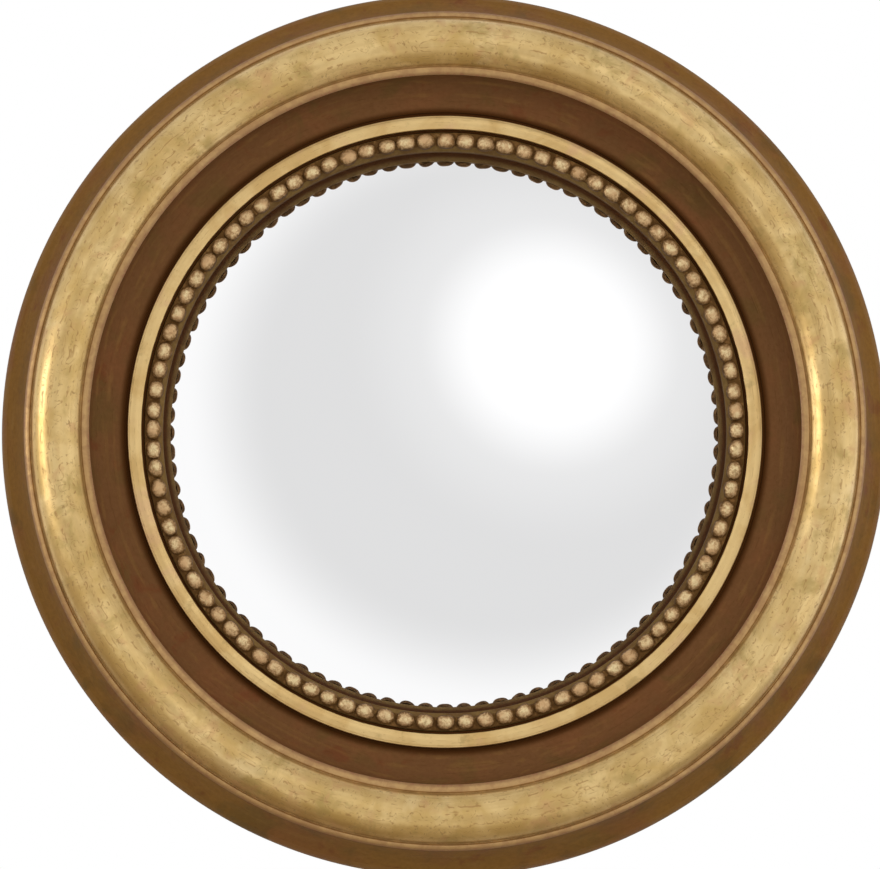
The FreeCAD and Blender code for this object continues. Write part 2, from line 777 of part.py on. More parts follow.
def make_all():
    pieces = [
        make_frame_back_ring(),
        make_frame_front_ring(),
        make_gilt_torus_moulding(),
        make_gilt_astragal_ring(),
        make_sight_slip(),
        make_bead_strip(),
        make_mirror_glass(),
        make_glass_cushion(),
        make_backboard(),
    ]
    for number in range(1, int(value_of("button_count")) + 1):
        pieces.append(make_turn_button(number))
    pieces.append(make_turn_button_screws())
    for name, side in (("left", -1), ("right", 1)):
        pieces.append(make_hanger_strap(name, side))
        pieces.append(make_d_ring(name, side))
    pieces.append(make_hanger_strap_screws())
    pieces.append(make_wall_bumpers())
    return pieces


def check(pieces):
    """Stops if an object failed to compute or a piece is not a valid solid."""
    for item in doc.Objects:
        if "Invalid" in item.State or "Error" in item.State:
            raise RuntimeError(f"{item.Name} failed: {item.State}")
    for piece in pieces:
        shape = piece.Shape
        if shape.isNull() or not shape.isValid() or not shape.Solids:
            raise RuntimeError(f"{piece.Label} is not a valid solid")


parts = make_all()
doc.recompute()
check(parts)
os.makedirs("parts", exist_ok=True)
for part in parts:
    part.Shape.exportStep(f"parts/{part.Label}.step")
    box = part.Shape.BoundBox
    size = f"{box.XLength:.1f} x {box.YLength:.1f} x {box.ZLength:.1f} mm"
    print(f"{part.Label}: {len(part.Shape.Solids)} solid(s), {size}")
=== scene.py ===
import json
import math
import random

import bpy
from mathutils import Matrix, Vector


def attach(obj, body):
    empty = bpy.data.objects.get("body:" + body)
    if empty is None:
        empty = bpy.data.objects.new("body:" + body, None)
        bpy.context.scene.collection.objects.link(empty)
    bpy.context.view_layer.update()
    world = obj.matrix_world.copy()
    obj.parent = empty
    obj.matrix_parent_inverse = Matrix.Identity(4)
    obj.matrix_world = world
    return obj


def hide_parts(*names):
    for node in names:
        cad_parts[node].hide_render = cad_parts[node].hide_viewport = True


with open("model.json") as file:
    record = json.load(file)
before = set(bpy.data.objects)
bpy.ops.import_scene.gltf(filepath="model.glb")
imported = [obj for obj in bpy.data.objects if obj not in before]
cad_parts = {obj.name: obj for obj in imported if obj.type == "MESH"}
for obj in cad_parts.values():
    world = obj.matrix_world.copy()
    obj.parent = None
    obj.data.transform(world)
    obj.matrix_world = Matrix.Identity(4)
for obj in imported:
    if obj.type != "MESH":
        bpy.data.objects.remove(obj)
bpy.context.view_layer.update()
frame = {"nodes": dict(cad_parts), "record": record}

bl_info = {
    "name": "Convex Mirror Finish",
    "version": (1, 0, 0),
    "blender": (4, 5, 0),
    "location": "3D View > Sidebar > Mirror",
    "description": "Turns, gilds and waxes a round convex mirror over its CAD frame",
    "category": "Object",
}

MM = 0.001
SLOTS = {row["node"]: row["material_slot"] for row in frame["record"]["subparts"]}


# ---------------------------------------------------------------- settings


class MirrorFinishSettings(bpy.types.PropertyGroup):
    """Colours and sizes of the finish that a user would change."""

    leaf_colour: bpy.props.StringProperty(
        name="Leaf", description="Colour of the metal leaf, sRGB hex", default="#E4C486"
    )
    leaf_deep_colour: bpy.props.StringProperty(
        name="Leaf, toned", description="Leaf under a thicker coat of toning wax", default="#C6A25E"
    )
    bole_colour: bpy.props.StringProperty(
        name="Bole", description="Reddish clay under the leaf where it is rubbed through", default="#8A5230"
    )
    # painted shade: the dark colour laid in the creases at the foot of the painted hollow and at the thin
    # ring's foot
    crease_shade_colour: bpy.props.StringProperty(
        name="Wax", description="Painted shade at the feet of the hollow and of the thin ring", default="#3C1F07"
    )
    paint_colour: bpy.props.StringProperty(
        name="Paint", description="Bronze-brown paint of the hollows", default="#6E4A2C"
    )
    paint_outer_colour: bpy.props.StringProperty(
        name="Paint outside", description="Paint of the outer edge, rubbed lighter", default="#805A2A"
    )
    turning_steps: bpy.props.IntProperty(
        name="Steps", description="Sides of a turned ring's mesh", default=384, min=96, max=1024
    )
    bead_count: bpy.props.IntProperty(
        name="Beads", description="Number of beads in the row", default=92, min=12, max=200
    )
    bead_seed: bpy.props.IntProperty(
        name="Bead seed", description="Start of the beads' small differences", default=7, min=0
    )
    gesso_depth: bpy.props.FloatProperty(
        name="Gesso unevenness",
        description="Depth of the soft unevenness under the leaf",
        default=0.0005,
        min=0.0,
        max=0.002,
        subtype="DISTANCE",
        unit="LENGTH",
        precision=5,
    )


class MirrorStageSettings(bpy.types.PropertyGroup):
    """Camera, floor and lamps."""

    camera_distance: bpy.props.FloatProperty(
        name="Distance",
        description="From the camera to the middle of the mirror",
        default=2.3,
        min=0.5,
        max=10.0,
        subtype="DISTANCE",
        unit="LENGTH",
    )
    camera_elevation: bpy.props.FloatProperty(
        name="Elevation",
        description="Height of the view; the camera looks slightly up at the mirror",
        default=math.radians(-4.9),
        subtype="ANGLE",
        unit="ROTATION",
    )
    camera_azimuth: bpy.props.FloatProperty(
        name="Azimuth",
        description="Turn of the view to the right",
        default=math.radians(-1.0),
        subtype="ANGLE",
        unit="ROTATION",
    )
    floor_drop: bpy.props.FloatProperty(
        name="Floor",
        description="Depth of the floor below the middle of the mirror",
        default=0.9,
        min=0.3,
        max=3.0,
        subtype="DISTANCE",
        unit="LENGTH",
    )


# ---------------------------------------------------------------- sizes of the pieces, in mm
# A radius is from the mirror's middle, and a height from the wall forwards.

OUTER, OUTER_FRONT = 250.0, 246.5
BACK, JOINT, LEDGE = 5.0, 20.0, 26.0
REBATE, BORE, COVE_FOOT = 176.0, 169.2, 180.2
GILT_OUTER, GILT_INNER, GILT_CANT = 235.2, 198.6, 4.0
GILT_OUTER_BASE = 41.0
GILT_INNER_BASE = GILT_OUTER_BASE + GILT_CANT
RING_OUTER, RING_INNER, RING_SHOULDER = 178.3, 170.4, 28.5
SLIP_OUTER, SLIP_BORE, SIGHT, BEVEL_FOOT = 168.9, 168.6, 158.8, 22.4
RIBBON_INNER, RIBBON_TOP = 161.1, 27.2
BEAD_CIRCLE, BEAD_SKIRT, BEAD_BASE, BEAD_TOP = 163.95, 24.7, 26.6, 31.2
GLASS_CURVE, GLASS_THICK, GLASS_RADIUS = 555.0, 3.0, 168.0
BOARD_FACE, CUSHION_THICK, CUSHION_OUTER, CONTACT_GAP = 9.0, 0.6, 167.5, 0.1
BACK_CURVE = GLASS_CURVE - GLASS_THICK
CUSHION_FACE = BOARD_FACE + CUSHION_THICK + CONTACT_GAP
GLASS_CENTRE = CUSHION_FACE - math.sqrt(BACK_CURVE**2 - CUSHION_OUTER**2)
BUTTONS, BUTTON_PIVOT, BUTTON_NOSE, BUTTON_HALF = 6, 187.0, 166.0, 6.0
BUTTON_LOW, BUTTON_HIGH = 2.85, 4.85
SCREW_HEAD, SCREW_RISE, SCREW_RECESS, SCREW_SHANK = 3.4, 1.9, 1.25, 1.75
BUTTON_SCREW_SEAT, STRAP_SCREW_SEAT, STRAP_SCREW_DROPS = 2.7, 3.0, (9.2, 27.0)
PIN_X, PIN_CIRCLE, PIN_HEIGHT = 150.0, 215.0, 2.65
PIN_Z = math.sqrt(PIN_CIRCLE**2 - PIN_X**2)
WIRE, D_HALF, D_CORNER, D_SIDE = 1.3, 9.8, 2.5, 6.0
D_TILT = math.asin(1.25 / (D_HALF + D_SIDE))
BUMPER_CIRCLE, BUMPER_RADIUS = 234.0, 7.0


def gilt_base(radius):
    """Height of the canted face under the gilt moulding."""
    return GILT_OUTER_BASE + GILT_CANT * (GILT_OUTER - radius) / (GILT_OUTER - GILT_INNER)


def glass_front(radius):
    """Height of the glass's face."""
    return GLASS_CENTRE + math.sqrt(GLASS_CURVE**2 - radius**2)


def glass_back(radius):
    """Height of the glass's silvered back."""
    return GLASS_CENTRE + math.sqrt(BACK_CURVE**2 - radius**2)


# ---------------------------------------------------------------- meshes


def in_place(x, z, height, turn=0.0):
    """A point in metres from its place in mm, turned about the mirror's axis."""
    c, s = math.cos(turn), math.sin(turn)
    return ((x * c - z * s) * MM, -height * MM, (x * s + z * c) * MM)


def arc_about(centre, radius, first, last, count):
    """Points on an arc about a centre, between two angles in degrees, without its last one."""
    points = []
    for i in range(count):
        angle = math.radians(first + (last - first) * i / count)
        points.append((centre[0] + radius * math.cos(angle), centre[1] + radius * math.sin(angle)))
    return points


def arc_points(start, end, radius, turn, count):
    """Points on the short arc between two profile points, without its last one."""
    start, end = Vector(start), Vector(end)
    chord = end - start
    side = Vector((-chord.y, chord.x)).normalized() * turn
    reach = math.sqrt(max(radius**2 - (chord.length / 2) ** 2, 0.0))
    centre = (start + end) / 2 + side * reach
    first = math.degrees(math.atan2(start.y - centre.y, start.x - centre.x))
    last = math.degrees(math.atan2(end.y - centre.y, end.x - centre.x))
    sweep = (last - first + 180.0) % 360.0 - 180.0
    return arc_about(centre, radius, first, first + sweep, count)


EASING_STEPS = 4


def eased(corners):
    """A closed profile from corners (radius, height, easing): sharp edges get a small round."""
    points = []
    count = len(corners)
    for i, corner in enumerate(corners):
        easing = corner[2] if len(corner) > 2 else 0.0
        here = Vector(corner[:2])
        if not easing:
            points.append(tuple(here))
            continue
        before = Vector(corners[i - 1][:2]) - here
        after = Vector(corners[(i + 1) % count][:2]) - here
        start = here + before.normalized() * min(easing, before.length * 0.45)
        end = here + after.normalized() * min(easing, after.length * 0.45)
        for step in range(EASING_STEPS + 1):
            t = step / EASING_STEPS
            point = start * (1 - t) ** 2 + here * 2 * t * (1 - t) + end * t**2
            points.append(tuple(point))
    return points


def finish_mesh(name, vertices, faces, body, slot, replaced, material, angle=38.0):
    """Makes the piece, smooth with its sharp edges kept, and seats it on its CAD body."""
    mesh = bpy.data.meshes.new(name)
    mesh.from_pydata(vertices, [], faces)
    mesh.validate()
    mesh.shade_smooth()
    mesh.set_sharp_from_angle(angle=math.radians(angle))
    mesh.materials.append(material)
    piece = bpy.data.objects.new(name, mesh)
    bpy.context.scene.collection.objects.link(piece)
    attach(piece, body)
    if replaced:
        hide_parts(*replaced)
    return piece


def skin(rows, around, closed=False, first=0):
    """Faces between rows of points, each row a loop; closed joins the last row to the first."""
    faces = []
    for j in range(rows if closed else rows - 1):
        here, beyond = first + j * around, first + (j + 1) % rows * around
        for i in range(around):
            k = (i + 1) % around
            faces.append((here + i, beyond + i, beyond + k, here + k))
    return faces


def turned_mesh(profile, steps, centre=(0.0, 0.0)):
    """Vertices and faces of a profile of (radius, height) turned about the axis at a centre."""
    vertices = []
    rows = len(profile)
    for i in range(steps):
        angle = 2 * math.pi * i / steps
        c, s = math.cos(angle), math.sin(angle)
        for radius, height in profile:
            vertices.append(in_place(centre[0] + radius * c, centre[1] + radius * s, height))
    # turned this way round, the faces look outwards
    return vertices, [(a, d, c, b) for a, b, c, d in skin(steps, rows, closed=True)]


def add_turned(name, profile, node, material, steps=None):
    """A turned ring that stands for a CAD node of the frame."""
    steps = steps or bpy.context.scene.mirror_finish.turning_steps
    vertices, faces = turned_mesh(profile, steps)
    return finish_mesh(name, vertices, faces, "frame", SLOTS[node], [node], material)


def dress(node, material):
    """Gives a CAD piece that is seen as it is its material."""
    data = frame["nodes"][node].data
    data.materials.clear()
    data.materials.append(material)


def joined(parts):
    """Several (vertices, faces) as one."""
    vertices, faces = [], []
    for more_vertices, more_faces in parts:
        offset = len(vertices)
        vertices += more_vertices
        faces += [tuple(v + offset for v in face) for face in more_faces]
    return vertices, faces


# ---------------------------------------------------------------- material helpers

MATH, MIX = "ShaderNodeMath", "ShaderNodeMix"
NOISE, RANGE = "ShaderNodeTexNoise", "ShaderNodeMapRange"


def linear(hex_colour):
    """A linear RGBA colour from sRGB hex."""
    channels = [int(hex_colour.lstrip("#")[i : i + 2], 16) / 255 for i in (0, 2, 4)]
    return tuple(c / 12.92 if c <= 0.04045 else ((c + 0.055) / 1.055) ** 2.4 for c in channels) + (1.0,)


def add_node(tree, kind, inputs=(), output=0, **settings):
    """Adds a node with its settings; an input takes a value or a link. Returns one output."""
    node = tree.nodes.new(kind)
    for key, value in settings.items():
        setattr(node, key, value)
    for key, item in inputs.items() if isinstance(inputs, dict) else enumerate(inputs):
        if isinstance(item, bpy.types.NodeSocket):
            tree.links.new(item, node.inputs[key])
        else:
            node.inputs[key].default_value = item
    return node.outputs[output] if node.outputs else node


def per_metre(millimetres):
    """Noise scale whose features are about so many millimetres across."""
    return 1000.0 / millimetres


def start_material(name, **values):
    """A material with a Principled surface and its constant values: (material, tree, surface)."""
    material = bpy.data.materials.new(name)
    material.use_nodes = True
    tree = material.node_tree
    surface = tree.nodes["Principled BSDF"]
    for key, value in values.items():
        surface.inputs[key.replace("_", " ")].default_value = value
    return material, tree, surface


def place_on(tree):
    """Place on the object, a vector in metres."""
    return add_node(tree, "ShaderNodeTexCoord", output="Object")


def ring_places(tree):
    """Place on the object: (vector in metres, radius in mm, height over the wall in mm)."""
    place = place_on(tree)
    x = add_node(tree, "ShaderNodeSeparateXYZ", (place,))
    y, z = x.node.outputs[1], x.node.outputs[2]
    across = add_node(tree, "ShaderNodeCombineXYZ", (x, 0.0, z))
    length = add_node(tree, "ShaderNodeVectorMath", (across,), "Value", operation="LENGTH")
    radius = add_node(tree, MATH, (length, 1000.0), operation="MULTIPLY")
    height = add_node(tree, MATH, (y, -1000.0), operation="MULTIPLY")
    return place, radius, height


def zone(tree, value, rise=None, fall=None, amount=1.0):
    """amount where a value lies in a zone: it comes in over rise and goes out over fall."""
    inside = amount
    for edge in (rise, fall):
        if edge:
            first, last = (0.0, inside) if edge is rise else (inside, 0.0)
            ends = {"Value": value, "From Min": edge[0], "From Max": edge[1], "To Min": first, "To Max": last}
            inside = add_node(tree, RANGE, ends, interpolation_type="SMOOTHSTEP")
    return inside


def clouds(tree, place, size, seed, low=0.0, high=1.0, amount=1.0, detail=4.0):
    """Soft patches about size mm across, from 0 to amount as their noise goes from low to high."""
    values = {"Vector": place, "W": seed, "Scale": per_metre(size), "Detail": detail}
    values |= {"Roughness": 0.6, "Distortion": 0.5}
    pattern = add_node(tree, NOISE, values, noise_dimensions="4D")
    return zone(tree, pattern, (low, high), amount=amount)


def streaks(tree, places, across, along, seed, low=0.0, high=1.0, amount=1.0):
    """Marks that run round the ring, narrow across it and long along it, sizes in mm."""
    place, radius, height = places
    wander = clouds(tree, place, along, seed, amount=14.0, detail=1.0)
    lines = [add_node(tree, MATH, (value, 1.0 / across), operation="MULTIPLY") for value in (radius, height)]
    vector = add_node(tree, "ShaderNodeCombineXYZ", (*lines, wander))
    pattern = add_node(tree, NOISE, {"Vector": vector, "W": seed, "Scale": 1.0}, noise_dimensions="4D")
    return zone(tree, pattern, (low, high), amount=amount)


def lay_coats(tree, surface, ground, *coats):
    """Colour, roughness and metal of a surface, built up as its finish is.

    The ground is (colour, roughness, metal). Each coat is (masks, colour, roughness, metal), lies
    where its masks, multiplied, say so, and may leave the metal as it was.
    """
    values = {"Base Color": linear(ground[0]), "Roughness": ground[1], "Metallic": ground[2]}
    for masks, *coat in coats:
        mask = masks[0]
        for other in masks[1:]:
            mask = add_node(tree, MATH, (mask, other), operation="MULTIPLY")
        for key, item in zip(values, coat):
            if key == "Base Color":
                both = {0: mask, 6: values[key], 7: linear(item)}
                values[key] = add_node(tree, MIX, both, 2, data_type="RGBA")
            else:
                values[key] = add_node(tree, MIX, {0: mask, 2: values[key], 3: item}, 0, data_type="FLOAT")
    for key, item in values.items():
        if isinstance(item, bpy.types.NodeSocket):
            tree.links.new(item, surface.inputs[key])
        else:
            surface.inputs[key].default_value = item


def relief(tree, surface, *layers):
    """Unevenness of the surface: patterns from 0 to 1, each with its depth in mm."""
    normal = add_node(tree, "ShaderNodeNewGeometry", output="Normal")
    for pattern, depth in layers:
        values = {"Height": pattern, "Strength": 1.0, "Distance": depth * MM, "Normal": normal}
        normal = add_node(tree, "ShaderNodeBump", values)
    tree.links.new(normal, surface.inputs["Normal"])


# ---------------------------------------------------------------- materials


def gilded_moulding_material():
    """Metal leaf over reddish bole on gesso, burnished, rubbed and toned with wax.

    The leaf gives a warm, softly blotched gloss. Wax dulls the grooves and lies in thin marks
    along the turning, and the bole shows on the fillets' edges, where cloths rub them.
    """
    s = bpy.context.scene.mirror_finish
    material, tree, surface = start_material("leaf gilding, waxed", Coat_Weight=0.22, Coat_Roughness=0.3)
    places = place, radius, height = ring_places(tree)
    mottle = clouds(tree, place, 6.0, 2.0, 0.36, 0.64)
    crumbs = clouds(tree, place, 2.4, 3.0, 0.46, 0.62)
    scratch = streaks(tree, places, 0.9, 20.0, 1.0, 0.60, 0.72)
    # in from the moulding's outer edge and out from its inner one: edges, fillets, grooves
    outer_in = add_node(tree, MATH, (GILT_OUTER, radius), operation="SUBTRACT")
    inner_out = add_node(tree, MATH, (radius, GILT_INNER), operation="SUBTRACT")
    outer_fillet = zone(tree, outer_in, fall=(3.7, 4.2))
    inner_fillet = zone(tree, inner_out, fall=(4.7, 5.2))
    fillets = add_node(tree, MATH, (outer_fillet, inner_fillet), operation="MAXIMUM")
    outer_groove = zone(tree, outer_in, (3.2, 3.9), (4.2, 5.6))
    inner_groove = zone(tree, inner_out, (4.0, 4.8), (5.1, 6.6))
    grooves = add_node(tree, MATH, (outer_groove, inner_groove), operation="MAXIMUM")
    outer_edge = zone(tree, outer_in, fall=(0.1, 1.8))
    inner_edge = zone(tree, inner_out, fall=(0.1, 2.2))
    edges = add_node(tree, MATH, (outer_edge, inner_edge), operation="MAXIMUM")
    lay_coats(
        tree, surface, (s.leaf_colour, 0.30, 0.92),
        ((clouds(tree, place, 34.0, 4.0, 0.40, 0.62, 0.85),), s.leaf_deep_colour, 0.34),
        ((streaks(tree, places, 5.0, 120.0, 5.0, 0.44, 0.66, 0.5),), "#C7A468", 0.33),
        ((clouds(tree, place, 22.0, 6.0, 0.52, 0.68, 0.7),), "#AC9050", 0.38, 0.75),
        ((clouds(tree, place, 15.0, 7.0, 0.54, 0.68, 0.6),), "#C89A66", 0.36, 0.75),
        ((clouds(tree, place, 40.0, 8.0, 0.56, 0.70, 0.5),), "#EBD09A", 0.24),
        ((scratch, 0.5), "#9A6F3C", 0.48, 0.5),
        ((streaks(tree, places, 2.6, 12.0, 18.0, 0.58, 0.68, 0.6),), "#9A6E38", 0.48, 0.5),
        ((clouds(tree, place, 4.2, 9.0, 0.60, 0.70, 0.55),), "#8F6A36", 0.5, 0.4),
        ((fillets, 0.85), "#B8905C", 0.42, 0.7),
        ((fillets, mottle, 0.6), "#9C7044", 0.46, 0.5),
        ((edges, 0.6), "#7C5630", 0.5, 0.3),
        ((edges, crumbs, 0.6), s.bole_colour, 0.5, 0.1),
        ((grooves, clouds(tree, place, 7.0, 10.0, 0.20, 0.62), 0.7), "#8A652F", 0.5, 0.4),
    )
    gesso = clouds(tree, place, 40.0, 11.0, detail=2.0)
    relief(tree, surface, (gesso, s.gesso_depth / MM), (scratch, 0.01), (mottle, 0.015))
    return material


def gilded_ring_material():
    """The same leaf on the thin ring: even and bright, with pinker rubbed patches."""
    s = bpy.context.scene.mirror_finish
    material, tree, surface = start_material("leaf gilding, thin ring", Coat_Weight=0.08, Coat_Roughness=0.25)
    places = place, radius, height = ring_places(tree)
    mottle = clouds(tree, place, 4.0, 12.0, 0.36, 0.64)
    scratch = streaks(tree, places, 0.8, 18.0, 13.0, 0.60, 0.72)
    lay_coats(
        tree, surface, ("#E2C184", 0.32, 0.85),
        ((clouds(tree, place, 24.0, 14.0, 0.40, 0.64, 0.8),), "#CDA768", 0.34),
        ((clouds(tree, place, 30.0, 15.0, 0.54, 0.68, 0.6),), "#D3A77C", 0.36, 0.75),
        ((clouds(tree, place, 12.0, 16.0, 0.56, 0.68, 0.5),), "#A68C56", 0.4, 0.7),
        ((scratch, 0.4), "#8E6A38", 0.5, 0.5),
        # painted shade: the ring's foot is darkened where it meets the ledge
        ((zone(tree, height, fall=(LEDGE + 0.1, LEDGE + 0.9)), 0.8), s.crease_shade_colour, 0.5, 0.0),
    )
    gesso = clouds(tree, place, 18.0, 17.0, detail=2.0)
    relief(tree, surface, (gesso, s.gesso_depth / MM / 2), (mottle, 0.02))
    return material


def painted_hollow_material():
    """Bronze-brown paint on turned wood, waxed: satin, with olive and reddish clouds.

    It carries painted shade beside the gilding, under the fillets' edges, and at the foot of the hollow.
    """
    s = bpy.context.scene.mirror_finish
    material, tree, surface = start_material("bronze-brown paint, waxed", Specular_IOR_Level=0.05)
    surface.inputs["Specular Tint"].default_value = linear("#F0D0A8")
    places = place, radius, height = ring_places(tree)
    # the gilding lies between the two hollows and hides where one paint gives way to the other
    outside = zone(tree, radius, rise=(205.0, 230.0))
    inside = zone(tree, radius, fall=(195.0, 200.0))
    fine = clouds(tree, place, 2.5, 22.0, 0.35, 0.65)
    lay_coats(
        tree, surface, (s.paint_colour, 0.42, 0.0),
        ((outside,), s.paint_outer_colour, 0.6),
        ((clouds(tree, place, 42.0, 23.0, 0.46, 0.66, 0.55),), "#7A4C2E", 0.38),
        ((clouds(tree, place, 30.0, 24.0, 0.50, 0.66, 0.5),), "#5F4A26", 0.48),
        ((clouds(tree, place, 18.0, 25.0, 0.56, 0.68, 0.5),), "#6E3A22", 0.42),
        ((streaks(tree, places, 3.2, 110.0, 26.0, 0.5, 0.72, 0.3),), "#8A6536", 0.4),
        ((streaks(tree, places, 1.2, 40.0, 27.0, 0.58, 0.72, 0.3),), "#4A2E12", 0.5),
        ((fine, 0.18), "#4F3114", 0.5),
        # painted shade under the fillets' edges: high on the inner hollow and high on the outer slope
        ((inside, zone(tree, height, rise=(37.0, 44.5)), 0.8), "#451F0C", 0.5),
        ((outside, zone(tree, height, rise=(35.5, 41.0)), 0.7), "#55320F", 0.5),
        # painted shade: a dark line at the foot of the hollow, beside the thin ring
        ((zone(tree, radius, fall=(COVE_FOOT + 0.2, COVE_FOOT + 3.8)), 0.9), s.crease_shade_colour, 0.5),
    )
    relief(tree, surface, (clouds(tree, place, 14.0, 28.0, detail=2.0), 0.35), (fine, 0.03))
    return material


def beading_material():
    """Moulded composition beads: brown ground and ragged leaf, with painted shade low on each bead and a
    painted highlight at its crown.
    """
    material, tree, surface = start_material("gilded composition beads", Specular_IOR_Level=0.05)
    place, _, height = ring_places(tree)
    pits = clouds(tree, place, 1.6, 31.0, 0.30, 0.70)
    ragged = add_node(tree, MATH, (pits, 1.8, height), operation="MULTIPLY_ADD")
    # height masks: the leaf comes in only high on each bead, with a paler painted highlight at the very top
    lit_leaf_tops = zone(tree, ragged, rise=(28.9, 31.6))
    highlit_crowns = zone(tree, ragged, rise=(30.4, 32.2))
    lay_coats(
        tree, surface, ("#5E411F", 0.5, 0.0),
        ((clouds(tree, place, 7.0, 32.0, 0.42, 0.62, 0.8),), "#74532A", 0.45),
        # painted shade: darker low down, between the beads and at their feet
        ((zone(tree, height, fall=(27.0, 28.4)), 0.5), "#452B12", 0.5),
        ((clouds(tree, place, 5.0, 33.0, 0.56, 0.68, 0.5),), "#A27C4C", 0.4, 0.5),
        # leaf colour by height: below it the brown ground stands partly for the composition and partly for
        # painted shade on the lower flanks
        ((lit_leaf_tops,), "#CDA678", 0.38, 0.5),
        # painted highlight: paler leaf on the highest part of each bead
        ((highlit_crowns, clouds(tree, place, 14.0, 34.0, 0.38, 0.56)), "#E6CE9C", 0.34, 0.6),
        ((clouds(tree, place, 3.5, 35.0, 0.52, 0.66, 0.65),), "#8A6338", 0.45, 0.3),
    )
    relief(tree, surface, (pits, 0.16))
    return material


def slip_material():
    """The slip between beads and glass: waxed olive-brown paint, with painted shade low down beside the
    glass.
    """
    material, tree, surface = start_material("slip paint, waxed", Specular_IOR_Level=0.05)
    place, _, height = ring_places(tree)
    fine = clouds(tree, place, 2.0, 42.0, 0.35, 0.65)
    lay_coats(
        tree, surface, ("#7E6236", 0.55, 0.0),
        ((clouds(tree, place, 12.0, 43.0, 0.42, 0.64),), "#6C4F2C", 0.55),
        ((clouds(tree, place, 5.0, 44.0, 0.56, 0.68, 0.4),), "#92744A", 0.5, 0.3),
        ((fine, 0.3), "#533A1C", 0.55),
        # painted shade: a dark band low on the slip's wall, where it meets the glass
        ((zone(tree, height, fall=(17.2, 21.4)), 0.95), "#4A2709", 0.6, 0.0),
    )
    relief(tree, surface, (fine, 0.08))
    return material


def silvered_glass_material():
    """Silvered convex glass, polished: a clear reflection, a touch cool, with a trace of haze."""
    silver = (0.93, 0.93, 0.935, 1.0)
    material, tree, surface = start_material("silvered glass", Metallic=1.0, Base_Color=silver)
    haze = clouds(tree, place_on(tree), 60.0, 51.0, amount=0.012)
    tree.links.new(haze, surface.inputs["Roughness"])
    return material


def backing_paint_material():
    """Grey protective paint brushed over the silvering, on the back and the edge of the glass."""
    material, tree, surface = start_material("backing paint")
    place = place_on(tree)
    lay_coats(
        tree, surface, ("#6E7274", 0.45, 0.0),
        ((clouds(tree, place, 30.0, 52.0, 0.35, 0.65),), "#595D60", 0.6),
    )
    relief(tree, surface, (clouds(tree, place, 3.0, 53.0), 0.1))
    return material


def hardboard_material():
    """Tempered hardboard, pressed from wood fibre: brown, flecked, faintly polished."""
    material, tree, surface = start_material("tempered hardboard", Specular_IOR_Level=0.3)
    place = place_on(tree)
    turned = {"Vector": place, "Scale": (1.0, 1.0, 0.28), "Rotation": (0.0, 0.6, 0.0)}
    fibre = clouds(tree, add_node(tree, "ShaderNodeMapping", turned), 1.6, 62.0, 0.40, 0.64, detail=5.0)
    lay_coats(
        tree, surface, ("#6E4B2C", 0.46, 0.0),
        ((clouds(tree, place, 70.0, 61.0, 0.38, 0.62),), "#5B3B21", 0.42),
        ((clouds(tree, place, 14.0, 64.0, 0.46, 0.66, 0.5),), "#7F5B38", 0.5),
        ((fibre, 0.45), "#8A6741", 0.55),
        ((clouds(tree, place, 2.4, 63.0, 0.58, 0.68, 0.75),), "#3C2411", 0.5),
        ((clouds(tree, place, 1.1, 65.0, 0.62, 0.70, 0.6),), "#B08A5E", 0.6),
    )
    relief(tree, surface, (fibre, 0.12))
    return material


def back_wood_material():
    """The frame's back: stained wood with open grain, and its edge painted as the front is."""
    s = bpy.context.scene.mirror_finish
    material, tree, surface = start_material("stained wood back", Specular_IOR_Level=0.06)
    place, radius, height = ring_places(tree)
    long_way = add_node(tree, "ShaderNodeMapping", {"Vector": place, "Scale": (0.08, 1.0, 1.0)})
    grain = clouds(tree, long_way, 2.2, 71.0, 0.42, 0.66)
    pores = clouds(tree, long_way, 0.9, 73.0, 0.62, 0.72)
    rim = zone(tree, radius, rise=(OUTER_FRONT - 0.9, OUTER_FRONT - 0.1))
    painted = (rim, zone(tree, height, rise=(BACK + 0.2, BACK + 1.2)))
    lay_coats(
        tree, surface, ("#6B4930", 0.48, 0.0),
        ((clouds(tree, long_way, 9.0, 72.0, 0.35, 0.65),), "#523620", 0.5),
        ((grain, 0.55), "#3F2813", 0.58),
        ((pores, 0.5), "#2C1B0C", 0.65),
        (painted, s.paint_outer_colour, 0.48),
        ((*painted, clouds(tree, place, 42.0, 23.0, 0.46, 0.66, 0.55)), "#7A4C2E", 0.42),
        ((*painted, clouds(tree, place, 30.0, 24.0, 0.50, 0.66, 0.65)), "#5C4724", 0.5),
    )
    relief(tree, surface, (grain, 0.15), (pores, -0.12))
    return material


def zinc_material():
    """Zinc-plated pressed steel: pale grey metal with rolling lines and faint clouds."""
    material, tree, surface = start_material("zinc-plated steel", Metallic=1.0)
    place = place_on(tree)
    cloud = clouds(tree, place, 5.0, 81.0, 0.35, 0.65)
    rolled = add_node(tree, "ShaderNodeMapping", {"Vector": place, "Scale": (1.0, 1.0, 0.06)})
    lines = clouds(tree, rolled, 0.35, 82.0, 0.3, 0.7)
    lay_coats(
        tree, surface, ("#C2C3C0", 0.24, 1.0),
        ((cloud,), "#A7A9A8", 0.40),
        ((lines, 0.4), "#B4B5B2", 0.46),
    )
    relief(tree, surface, (cloud, 0.02), (lines, 0.015))
    return material


def felt_material():
    """Pressed wool felt: matt, fibrous, with a soft sheen."""
    material, tree, surface = start_material(
        "pressed felt", Specular_IOR_Level=0.1, Sheen_Weight=0.35, Sheen_Roughness=0.5
    )
    place = place_on(tree)
    fibre = clouds(tree, place, 0.7, 91.0, 0.36, 0.66, detail=5.0)
    lay_coats(
        tree, surface, ("#3C3833", 0.95, 0.0),
        ((fibre,), "#5A554C", 0.95),
        ((clouds(tree, place, 8.0, 92.0, 0.4, 0.6, 0.3),), "#2E2A26", 0.95),
    )
    relief(tree, surface, (fibre, 0.4))
    return material


